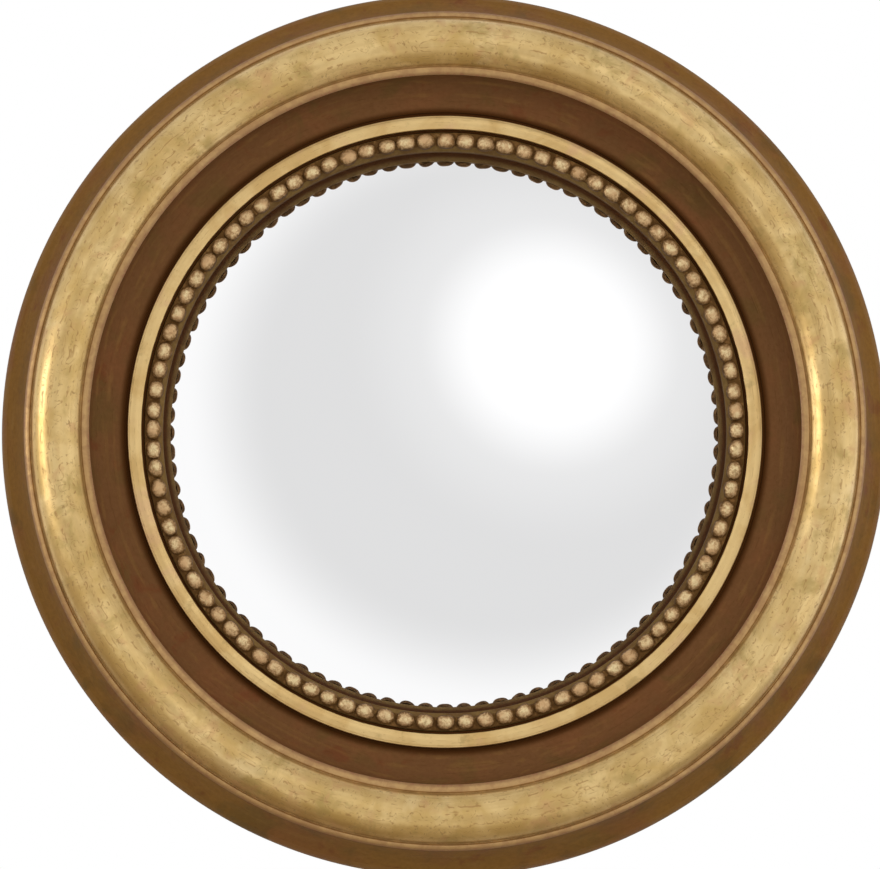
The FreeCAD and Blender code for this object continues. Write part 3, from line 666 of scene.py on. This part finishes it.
def rubber_material():
    """Moulded rubber pads: near black, matt, with fine grit and a little dust."""
    material, tree, surface = start_material("moulded rubber", Specular_IOR_Level=0.4)
    place = place_on(tree)
    lay_coats(
        tree, surface, ("#232221", 0.55, 0.0),
        ((clouds(tree, place, 4.0, 96.0, 0.45, 0.7, 0.4),), "#4A4642", 0.75),
    )
    relief(tree, surface, (clouds(tree, place, 0.5, 95.0), 0.15))
    return material


def material_named(name, make):
    """The material of that name, made once."""
    return bpy.data.materials.get(name) or make()


# ---------------------------------------------------------------- operators


class MIRROR_OT_turn_frame_layers(bpy.types.Operator):
    """Turn the back layer with its rounded outline, and the front layer with its two hollows"""

    bl_idname = "mirror.turn_frame_layers"
    bl_label = "Frame layers"

    def execute(self, context):
        widest, chamfer = 12.0, 1.5
        back = eased(
            [(REBATE, BACK), (OUTER - chamfer, BACK, 0.8), (OUTER, BACK + chamfer, 0.8), (OUTER, widest)]
        )
        back += arc_points((OUTER, widest), (OUTER_FRONT, JOINT), 10.893, +1, 10)[1:]
        back += [(OUTER_FRONT, JOINT), (REBATE, JOINT)]
        wood = material_named("stained wood back", back_wood_material)
        add_turned("frame_back_turning", back, "frame_back_ring", wood)
        outer_edge, inner_edge = GILT_OUTER - 0.4, GILT_INNER + 0.4
        front = [(BORE, JOINT)]
        front += arc_points((OUTER_FRONT, JOINT), (outer_edge, gilt_base(outer_edge)), 35.0, -1, 24)
        front += [(outer_edge, gilt_base(outer_edge))]
        cove_end = (COVE_FOOT, LEDGE + 1.0)
        front += arc_points((inner_edge, gilt_base(inner_edge)), cove_end, 20.0, -1, 28)
        front += [cove_end, (COVE_FOOT, LEDGE), (BORE, LEDGE)]
        paint = material_named("bronze-brown paint, waxed", painted_hollow_material)
        add_turned("frame_front_turning", front, "frame_front_ring", paint)
        return {"FINISHED"}


class MIRROR_OT_gild_torus(bpy.types.Operator):
    """Turn and gild the broad half-round moulding with its grooves and fillets"""

    bl_idname = "mirror.gild_torus"
    bl_label = "Gilt half-round"

    def execute(self, context):
        out, inn = GILT_OUTER - 4.0, GILT_INNER + 5.0
        start, end = (out - 0.1, gilt_base(out) + 1.9), (inn + 0.1, gilt_base(inn) + 1.9)
        chord = (Vector(start) - Vector(end)).length
        rise = 9.6
        radius = (chord**2 / 4 + rise**2) / (2 * rise)
        # each fillet rises softly from the groove and rolls over towards the paint
        outer_lip, outer_crest = (GILT_OUTER, GILT_OUTER_BASE + 0.9), (out + 1.0, gilt_base(out) + 2.45)
        inner_lip, inner_crest = (GILT_INNER, GILT_INNER_BASE + 0.7), (inn - 1.0, gilt_base(inn) + 2.45)
        outer_valley = (out + 0.2, gilt_base(out) + 1.7, 0.5)
        inner_valley = (inn - 0.2, gilt_base(inn) + 1.7, 0.5)
        profile = [(GILT_INNER, GILT_INNER_BASE), (GILT_OUTER, GILT_OUTER_BASE), outer_lip]
        profile += arc_points(outer_lip, outer_crest, 4.6, +1, 10)
        profile += eased([outer_crest, outer_valley, start])[:-1]
        profile += arc_points(start, end, radius, +1, 64)
        profile += eased([end, inner_valley, inner_crest])[:-1]
        profile += arc_points(inner_crest, inner_lip, 5.6, +1, 10)
        profile += [inner_lip]
        leaf = material_named("leaf gilding, waxed", gilded_moulding_material)
        add_turned("gilt_half_round", profile, "gilt_torus_moulding", leaf, 512)
        return {"FINISHED"}


class MIRROR_OT_gild_thin_ring(bpy.types.Operator):
    """Turn and gild the thin ring beside the beads"""

    bl_idname = "mirror.gild_thin_ring"
    bl_label = "Thin gilt ring"

    def execute(self, context):
        # a low crown between two rounded shoulders
        shoulder, round_over = RING_SHOULDER, 0.7
        side, crown = shoulder - 0.6, shoulder + 0.1
        profile = [(RING_INNER, LEDGE), (RING_OUTER, LEDGE), (RING_OUTER, side)]
        profile += arc_points((RING_OUTER, side), (RING_OUTER - round_over, crown), round_over, +1, 6)
        profile += arc_points((RING_OUTER - round_over, crown), (RING_INNER + round_over, crown), 7.6, +1, 18)
        profile += arc_points((RING_INNER + round_over, crown), (RING_INNER, side), round_over, +1, 6)
        profile += [(RING_INNER, side)]
        leaf = material_named("leaf gilding, thin ring", gilded_ring_material)
        add_turned("thin_gilt_ring", profile, "gilt_astragal_ring", leaf, 512)
        return {"FINISHED"}


class MIRROR_OT_turn_slip(bpy.types.Operator):
    """Turn the slip that stands on the glass and carries the beads"""

    bl_idname = "mirror.turn_slip"
    bl_label = "Sight slip"

    def execute(self, context):
        # bevel, wall down to the glass, over the glass's rim, foot on the board, and the bore's wall
        foot = 175.7
        profile = eased(
            [
                (RIBBON_INNER, LEDGE, 0.3),
                (SIGHT, BEVEL_FOOT, 0.5),
                (SIGHT, glass_front(SIGHT) + 0.1),
                (SLIP_BORE, glass_front(SLIP_BORE) + 0.1),
                (SLIP_BORE, BOARD_FACE),
                (foot, BOARD_FACE),
                (foot, JOINT),
                (SLIP_OUTER, JOINT),
                (SLIP_OUTER, LEDGE, 0.3),
            ]
        )
        paint = material_named("slip paint, waxed", slip_material)
        add_turned("sight_slip_turning", profile, "sight_slip", paint)
        return {"FINISHED"}


def bead_mesh(angle, dice):
    """One moulded bead at an angle on the ribbon: an uneven, rounded-square dome on a short skirt."""
    around, rows = 32, 11
    ring = BEAD_CIRCLE + dice.uniform(-0.15, 0.1)
    wide = 4.35 * dice.uniform(0.94, 1.0)
    long = 5.5 * dice.uniform(0.92, 1.03)
    top = BEAD_TOP - dice.uniform(0.0, 0.55)
    square = dice.uniform(2.0, 2.5)
    lean = (dice.uniform(-0.10, 0.10), dice.uniform(-0.14, 0.14))
    lumps = [(dice.uniform(0, 2 * math.pi), dice.uniform(0.0, 0.04)) for _ in range(3)]
    vertices = []
    for j in range(rows):
        slope = max(j - 1, 0) / (rows - 2) * math.pi / 2
        share = math.cos(slope) ** 0.9 if j else 1.0
        for i in range(around):
            turn = 2 * math.pi * i / around
            c, n = math.cos(turn), math.sin(turn)
            swell = 1 + sum(size * math.cos((k + 2) * turn + at) for k, (at, size) in enumerate(lumps))
            swell /= (abs(c) ** square + abs(n) ** square) ** (1 / square)
            across, along = wide * share * swell * c, long * share * swell * n
            tilt = 1 + lean[0] * across / 4 + lean[1] * along / 4
            rise = (top - BEAD_BASE) * math.sin(slope) * tilt
            height = min(BEAD_BASE + rise, BEAD_TOP) if j else BEAD_SKIRT
            vertices.append(in_place(ring + across, along, height, angle))
    faces = skin(rows, around)
    faces.append(tuple(range((rows - 1) * around, rows * around)))
    return vertices, faces


class MIRROR_OT_mould_beads(bpy.types.Operator):
    """Mould the ribbon and its row of beads, each a little different in size, place and height"""

    bl_idname = "mirror.mould_beads"
    bl_label = "Bead row"

    def execute(self, context):
        s = context.scene.mirror_finish
        dice = random.Random(s.bead_seed)
        ribbon = eased(
            [
                (RIBBON_INNER, LEDGE),
                (SLIP_BORE, LEDGE),
                (SLIP_BORE, RIBBON_TOP, 0.4),
                (RIBBON_INNER + 0.8, RIBBON_TOP, 0.3),
            ]
        )
        parts = [turned_mesh(ribbon, s.turning_steps)]
        for number in range(s.bead_count):
            angle = 2 * math.pi * (number + dice.uniform(-0.045, 0.045)) / s.bead_count
            parts.append(bead_mesh(angle, dice))
        vertices, faces = joined(parts)
        gilt = material_named("gilded composition beads", beading_material)
        seat = ("frame", SLOTS["bead_strip"], ["bead_strip"])
        finish_mesh("pearl_bead_row", vertices, faces, *seat, gilt, 60.0)
        return {"FINISHED"}


class MIRROR_OT_silver_glass(bpy.types.Operator):
    """Slump the convex glass, silver it, and paint its back"""

    bl_idname = "mirror.silver_glass"
    bl_label = "Convex glass"

    def execute(self, context):
        rings, steps = 48, 256
        radii = [GLASS_RADIUS * math.sin(math.pi / 2 * i / rings) for i in range(1, rings + 1)]
        profile = [(r, glass_front(r)) for r in radii] + [(r, glass_back(r)) for r in reversed(radii)]
        rows = len(profile)
        vertices = [in_place(0.0, 0.0, glass_front(0.0))]
        for i in range(steps):
            vertices += [in_place(radius, 0.0, height, 2 * math.pi * i / steps) for radius, height in profile]
        vertices.append(in_place(0.0, 0.0, glass_back(0.0)))
        last = len(vertices) - 1
        faces, behind = [], []
        for i in range(steps):
            a, b = 1 + i * rows, 1 + (i + 1) % steps * rows
            faces.append((0, a, b))
            faces += [(a + j, a + j + 1, b + j + 1, b + j) for j in range(rows - 1)]
            faces.append((a + rows - 1, last, b + rows - 1))
            behind += [0] * rings + [1] * (rows + 1 - rings)
        silver = material_named("silvered glass", silvered_glass_material)
        seat = ("frame", SLOTS["mirror_glass"], ["mirror_glass"])
        piece = finish_mesh("convex_glass", vertices, faces, *seat, silver)
        # the edge and the back wear the paint
        piece.data.materials.append(material_named("backing paint", backing_paint_material))
        piece.data.polygons.foreach_set("material_index", behind)
        return {"FINISHED"}


class MIRROR_OT_close_back(bpy.types.Operator):
    """Finish the backboard and the felt ring under the glass"""

    bl_idname = "mirror.close_back"
    bl_label = "Backboard and cushion"

    def execute(self, context):
        dress("backboard", material_named("tempered hardboard", hardboard_material))
        dress("glass_cushion", material_named("pressed felt", felt_material))
        return {"FINISHED"}


def button_mesh(turn):
    """A pressed turn button with eased edges, and a shallow dish round its screw on the outside."""
    low, high, half_circle = BUTTON_LOW, BUTTON_HIGH, 14
    loops = []
    for inset, height in (
        (0.5, high), (0.15, high - 0.12), (0.0, high - 0.5), (0.0, low + 0.5), (0.15, low + 0.12), (0.5, low),
    ):
        outline = []
        for centre, first in ((BUTTON_PIVOT, -90.0), (BUTTON_NOSE, 90.0)):
            for i in range(half_circle + 1):
                angle = math.radians(first + 180.0 * i / half_circle)
                reach = BUTTON_HALF - inset
                outline.append((centre + reach * math.cos(angle), reach * math.sin(angle), height))
        loops.append(outline)
    count = len(loops[0])
    for radius, height in ((4.6, low), (4.2, low + 0.12), (2.0, low + 0.18), (1.8, high)):
        hole = arc_about((BUTTON_PIVOT, 0.0), radius, -90.0, 270.0, count)
        loops.append([(x, z, height) for x, z in hole])
    vertices = [in_place(*point, turn) for loop in loops for point in loop]
    return vertices, skin(len(loops), count, closed=True)


class MIRROR_OT_fit_turn_buttons(bpy.types.Operator):
    """Press the six turn buttons from strip, with eased edges, and set them on their screws"""

    bl_idname = "mirror.fit_turn_buttons"
    bl_label = "Turn buttons"

    def execute(self, context):
        zinc = material_named("zinc-plated steel", zinc_material)
        for number in range(BUTTONS):
            node = f"turn_button_{number + 1}"
            vertices, faces = button_mesh(2 * math.pi * number / BUTTONS)
            seat = (f"button_{number + 1}", SLOTS[node], [node])
            finish_mesh(f"pressed_button_{number + 1}", vertices, faces, *seat, zinc, 50.0)
        return {"FINISHED"}


def recess_depth(u, v):
    """Depth of the cross recess at a spot on a screw's head; its slots narrow outwards."""
    arm, reach = min(abs(u), abs(v)), max(abs(u), abs(v))
    across = max(0.0, min(1.0, (0.55 - 0.14 * reach - arm) / 0.16))
    inside = across * max(0.0, min(1.0, (2.15 - reach) / 0.3))
    return inside * (SCREW_RECESS - 0.4 * reach)


def screw_mesh(x, z, seat, turn):
    """A pan head screw with a cross recess, at (x, z), its head towards the wall, in mm."""
    around, rings = 48, 16
    rows = []
    for j in range(1, rings + 1):
        share = math.sin(j / rings * math.pi / 2) ** 0.9
        rows.append((SCREW_HEAD * share, seat - SCREW_RISE * max(1 - share**2.6, 0.0) ** 0.6, True))
    # underside of the head, shank and point
    rows += [(SCREW_SHANK, seat, False), (SCREW_SHANK, 16.0, False), (0.4, 17.0, False)]
    vertices = [in_place(x, z, seat - SCREW_RISE + SCREW_RECESS)]
    for radius, height, cut in rows:
        for i in range(around):
            angle = 2 * math.pi * i / around
            depth = recess_depth(radius * math.cos(angle), radius * math.sin(angle)) if cut else 0.0
            spot = (x + radius * math.cos(angle + turn), z + radius * math.sin(angle + turn))
            vertices.append(in_place(*spot, height + depth))
    faces = [(0, 1 + i, 1 + (i + 1) % around) for i in range(around)]
    faces += skin(len(rows), around, first=1)
    faces.append(tuple(range(len(vertices) - around, len(vertices))))
    return vertices, faces


class MIRROR_OT_drive_screws(bpy.types.Operator):
    """Make the cross-recessed screws of the turn buttons and of the hanger straps"""

    bl_idname = "mirror.drive_screws"
    bl_label = "Screws"

    def execute(self, context):
        zinc = material_named("zinc-plated steel", zinc_material)
        dice = random.Random(3)
        button_screws = []
        for number in range(BUTTONS):
            turn = 2 * math.pi * number / BUTTONS
            x, z = BUTTON_PIVOT * math.cos(turn), BUTTON_PIVOT * math.sin(turn)
            button_screws.append(screw_mesh(x, z, BUTTON_SCREW_SEAT, dice.uniform(0, 1.5)))
        strap_screws = []
        for side in (-1, 1):
            for drop in STRAP_SCREW_DROPS:
                spot = (side * PIN_X, PIN_Z - drop)
                strap_screws.append(screw_mesh(*spot, STRAP_SCREW_SEAT, dice.uniform(0, 1.5)))
        for name, node, parts in (
            ("button_screw_set", "turn_button_screws", button_screws),
            ("strap_screw_set", "hanger_strap_screws", strap_screws),
        ):
            finish_mesh(name, *joined(parts), "frame", SLOTS[node], [node], zinc, 40.0)
        return {"FINISHED"}


class MIRROR_OT_bend_d_rings(bpy.types.Operator):
    """Bend the two D-rings from round wire"""

    bl_idname = "mirror.bend_d_rings"
    bl_label = "D-rings"

    def execute(self, context):
        zinc = material_named("zinc-plated steel", zinc_material)
        half, corner = D_HALF, D_CORNER
        line = [((half - corner) * (i / 3 - 1), 0.0) for i in range(6)]
        line += arc_about((half - corner, -corner), corner, 90.0, 0.0, 8)
        line += [(half, -corner - (D_SIDE - corner) * i / 2) for i in range(2)]
        line += arc_about((0.0, -D_SIDE), half, 0.0, -180.0, 24)
        line += [(-half, -D_SIDE + (D_SIDE - corner) * i / 2) for i in range(2)]
        line += arc_about((corner - half, -corner), corner, 180.0, 90.0, 8)
        sides, count = 16, len(line)
        turn = Matrix.Rotation(D_TILT, 3, "X")
        for name, side in (("left", -1), ("right", 1)):
            pin = Vector((side * PIN_X, -PIN_HEIGHT, PIN_Z))
            vertices = []
            for i, (x, z) in enumerate(line):
                along = (Vector(line[(i + 1) % count]) - Vector(line[i - 1])).normalized()
                outward = Vector((along.y, 0.0, -along.x))
                for k in range(sides):
                    angle = 2 * math.pi * k / sides
                    section = outward * WIRE * math.cos(angle) + Vector((0, WIRE * math.sin(angle), 0))
                    point = turn @ (Vector((x, 0.0, z)) + section) + pin
                    vertices.append(tuple(point * MM))
            node = f"d_ring_{name}"
            seat = (f"{name}_d_ring", SLOTS[node], [node])
            finish_mesh(f"bent_d_ring_{name}", vertices, skin(count, sides, closed=True), *seat, zinc)
        return {"FINISHED"}


class MIRROR_OT_fold_straps(bpy.types.Operator):
    """Plate the two folded hanger straps"""

    bl_idname = "mirror.fold_straps"
    bl_label = "Hanger straps"

    def execute(self, context):
        for name in ("left", "right"):
            dress(f"hanger_strap_{name}", material_named("zinc-plated steel", zinc_material))
        return {"FINISHED"}


class MIRROR_OT_stick_bumpers(bpy.types.Operator):
    """Mould the four pads that keep the frame off the wall"""

    bl_idname = "mirror.stick_bumpers"
    bl_label = "Bumpers"

    def execute(self, context):
        edge, hub = BUMPER_RADIUS, 0.02
        profile = [(hub, BACK), (edge - 0.1, BACK), (edge, BACK - 0.2), (edge, 1.4)]
        profile += [(edge - 0.25, 0.7), (edge - 0.8, 0.2), (edge - 1.6, 0.0), (hub, 0.0)]
        parts = []
        for angle in (30.0, 150.0, 210.0, 330.0):
            turn = math.radians(angle)
            centre = (BUMPER_CIRCLE * math.cos(turn), BUMPER_CIRCLE * math.sin(turn))
            parts.append(turned_mesh(profile, 48, centre))
        rubber = material_named("moulded rubber", rubber_material)
        seat = ("frame", SLOTS["wall_bumpers"], ["wall_bumpers"])
        finish_mesh("bumper_pads", *joined(parts), *seat, rubber)
        return {"FINISHED"}


# ---------------------------------------------------------------- stage


def add_lamp(name, place, target, width, height, watts, in_gloss=True):
    """A rectangular studio lamp aimed at a point."""
    data = bpy.data.lights.new(name, "AREA")
    data.shape = "RECTANGLE"
    data.size, data.size_y, data.energy = width, height, watts
    lamp = bpy.data.objects.new(name, data)
    bpy.context.scene.collection.objects.link(lamp)
    lamp.location = place
    lamp.rotation_euler = (Vector(target) - Vector(place)).to_track_quat("-Z", "Y").to_euler()
    lamp.visible_glossy = in_gloss


def toward(polar, azimuth):
    """Unit vector so many degrees off the mirror's axis, its azimuth from the right side upwards."""
    polar, azimuth = math.radians(polar), math.radians(azimuth)
    across = math.sin(polar)
    return Vector((across * math.cos(azimuth), -math.cos(polar), across * math.sin(azimuth)))


def glow(tree, direction, colour, centre, inner, outer, other):
    """A colour within inner degrees of a centre, fading into the other one beyond outer."""
    values = (direction, toward(*centre))
    dot = add_node(tree, "ShaderNodeVectorMath", values, "Value", operation="DOT_PRODUCT")
    near = zone(tree, dot, rise=(math.cos(math.radians(outer)), math.cos(math.radians(inner))))
    return add_node(tree, MIX, {0: near, 6: other, 7: colour}, 2, data_type="RGBA")


def add_camera(s):
    """The photograph's camera, in front of the mirror and a little below its middle."""
    data = bpy.data.cameras.new("photo camera")
    # the lens grows with the distance, so the mirror keeps its size in the picture
    data.lens, data.sensor_width = 166.4 / 2.3 * s.camera_distance, 36.0
    data.clip_end = 50.0
    camera = bpy.data.objects.new("photo camera", data)
    bpy.context.scene.collection.objects.link(camera)
    level = math.cos(s.camera_elevation)
    across, back = math.sin(s.camera_azimuth) * level, -math.cos(s.camera_azimuth) * level
    away = Vector((across, back, math.sin(s.camera_elevation)))
    # the mirror sits as far off the middle of the picture as it does in the photograph
    aim = Vector((-0.00272, -0.012, -0.00133))
    camera.location = aim + away * s.camera_distance
    camera.rotation_euler = (-away).to_track_quat("-Z", "Y").to_euler()
    bpy.context.scene.camera = camera


def add_floor(drop):
    """A matt pale floor, far below; reflections look through it at the studio."""
    material, tree, surface = start_material("floor paint", Roughness=0.9)
    scuffs = clouds(tree, place_on(tree), 40.0, 1.0, 0.3, 0.7)
    lay_coats(tree, surface, ("#EAEAE8", 0.9, 0.0), ((scuffs,), "#E6E6E4", 0.9))
    path = add_node(tree, "ShaderNodeLightPath").node.outputs
    surface.inputs["Emission Color"].default_value = (1.0, 1.0, 1.0, 1.0)
    lift = add_node(tree, MATH, (path["Is Camera Ray"], 0.5), operation="MULTIPLY")
    tree.links.new(lift, surface.inputs["Emission Strength"])
    rays = (path["Is Glossy Ray"], path["Is Transmission Ray"])
    through = add_node(tree, MATH, rays, operation="MAXIMUM")
    clear = add_node(tree, "ShaderNodeBsdfTransparent")
    shown = add_node(tree, "ShaderNodeMixShader", (through, surface.outputs[0], clear))
    tree.links.new(shown, tree.nodes["Material Output"].inputs["Surface"])
    size = 6.0
    corners = [(x * size, y * size, -drop) for x, y in ((-1, -1), (1, -1), (1, 1), (-1, 1))]
    mesh = bpy.data.meshes.new("studio_floor")
    mesh.from_pydata(corners, [], [(0, 1, 2, 3)])
    mesh.materials.append(material)
    floor = bpy.data.objects.new("studio_floor", mesh)
    bpy.context.scene.collection.objects.link(floor)


def add_surroundings():
    """A white studio, with what the gilding and the glass mirror of it."""
    world = bpy.data.worlds.new("white studio")
    bpy.context.scene.world = world
    world.use_nodes = True
    tree = world.node_tree
    tree.nodes.clear()
    direction = add_node(tree, "ShaderNodeTexCoord", output="Generated")
    # what the gilding's slopes mirror: a bright right side and a warm, dark lower left
    shade = linear("#D3D3D3")
    for colour, centre, inner, outer in (
        ("#F1F1F1", (60.0, -14.0), 16.0, 50.0),
        ("#F3F3F3", (112.0, 2.0), 10.0, 36.0),
        ("#E9E9E9", (114.0, 178.0), 10.0, 32.0),
        ("#B0A593", (80.0, 243.0), 38.0, 64.0),
        ("#8C7A62", (106.0, 243.0), 18.0, 44.0),
        ("#A39A8E", (108.0, 303.0), 12.0, 34.0),
    ):
        shade = glow(tree, direction, linear(colour), centre, inner, outer, shade)
    # what the glass mirrors: a grey studio, pale at its lower left rim, and a soft round lamp
    in_glass = glow(tree, direction, linear("#D5D5D5"), (12.2, 50.5), 29.0, 41.0, linear("#EFEFEF"))
    in_glass = glow(tree, direction, linear("#E1E1E1"), (22.0, 47.4), 8.0, 27.0, in_glass)
    in_glass = glow(tree, direction, linear("#FBFBFB"), (22.0, 47.4), 0.5, 17.5, in_glass)
    shade = glow(tree, direction, in_glass, (5.6, 80.0), 37.0, 52.0, shade)
    path = add_node(tree, "ShaderNodeLightPath").node.outputs
    background = "ShaderNodeBackground"
    mirrored = add_node(tree, background, {"Color": shade, "Strength": 1.2})
    plain = add_node(tree, background, {"Color": (1, 1, 1, 1), "Strength": 0.58})
    white = add_node(tree, background, {"Color": (1, 1, 1, 1), "Strength": 1.0})
    glossy = add_node(tree, "ShaderNodeMixShader", (path["Is Glossy Ray"], plain, mirrored))
    rays = (path["Is Camera Ray"], path["Is Transmission Ray"])
    bright = add_node(tree, MATH, rays, operation="MAXIMUM")
    shown = add_node(tree, "ShaderNodeMixShader", (bright, glossy, white))
    add_node(tree, "ShaderNodeOutputWorld", (shown,))


class MIRROR_OT_set_stage(bpy.types.Operator):
    """Set up the camera, the pale floor, the soft lamps and the white surroundings"""

    bl_idname = "mirror.set_stage"
    bl_label = "Stage"

    def execute(self, context):
        settings = context.scene.mirror_stage
        context.scene.view_settings.view_transform = "Standard"
        add_camera(settings)
        add_floor(settings.floor_drop)
        add_surroundings()
        middle = (0, 0, 0)
        add_lamp("soft box, left", (-1.98, -0.80, 0.16), middle, 1.1, 0.55, 6.6)
        add_lamp("soft lamp, right", (1.1, -2.2, 1.0), middle, 1.3, 1.3, 24.0, in_gloss=False)
        return {"FINISHED"}


# ---------------------------------------------------------------- panel and registration

PIECE_OPERATORS = [
    MIRROR_OT_turn_frame_layers,
    MIRROR_OT_gild_torus,
    MIRROR_OT_gild_thin_ring,
    MIRROR_OT_turn_slip,
    MIRROR_OT_mould_beads,
    MIRROR_OT_silver_glass,
    MIRROR_OT_close_back,
    MIRROR_OT_fit_turn_buttons,
    MIRROR_OT_drive_screws,
    MIRROR_OT_bend_d_rings,
    MIRROR_OT_fold_straps,
    MIRROR_OT_stick_bumpers,
    MIRROR_OT_set_stage,
]


class MIRROR_PT_finish(bpy.types.Panel):
    """The mirror's pieces in the order in which they are made"""

    bl_idname = "MIRROR_PT_finish"
    bl_label = "Convex mirror"
    bl_space_type = "VIEW_3D"
    bl_region_type = "UI"
    bl_category = "Mirror"

    def draw(self, context):
        column = self.layout.column()
        for operator in PIECE_OPERATORS:
            column.operator(operator.bl_idname)
        for settings in (context.scene.mirror_finish, context.scene.mirror_stage):
            for key in settings.__annotations__:
                column.prop(settings, key)


CLASSES = [MirrorFinishSettings, MirrorStageSettings, *PIECE_OPERATORS, MIRROR_PT_finish]


def register():
    for cls in CLASSES:
        bpy.utils.register_class(cls)
    bpy.types.Scene.mirror_finish = bpy.props.PointerProperty(type=MirrorFinishSettings)
    bpy.types.Scene.mirror_stage = bpy.props.PointerProperty(type=MirrorStageSettings)


def unregister():
    del bpy.types.Scene.mirror_stage
    del bpy.types.Scene.mirror_finish
    for cls in reversed(CLASSES):
        bpy.utils.unregister_class(cls)


def main():
    register()
    for operator in PIECE_OPERATORS:
        group, name = operator.bl_idname.split(".")
        result = getattr(getattr(bpy.ops, group), name)()
        if result != {"FINISHED"}:
            raise RuntimeError(f"{operator.bl_idname} did not finish")


if __name__ == "__main__":
    main()
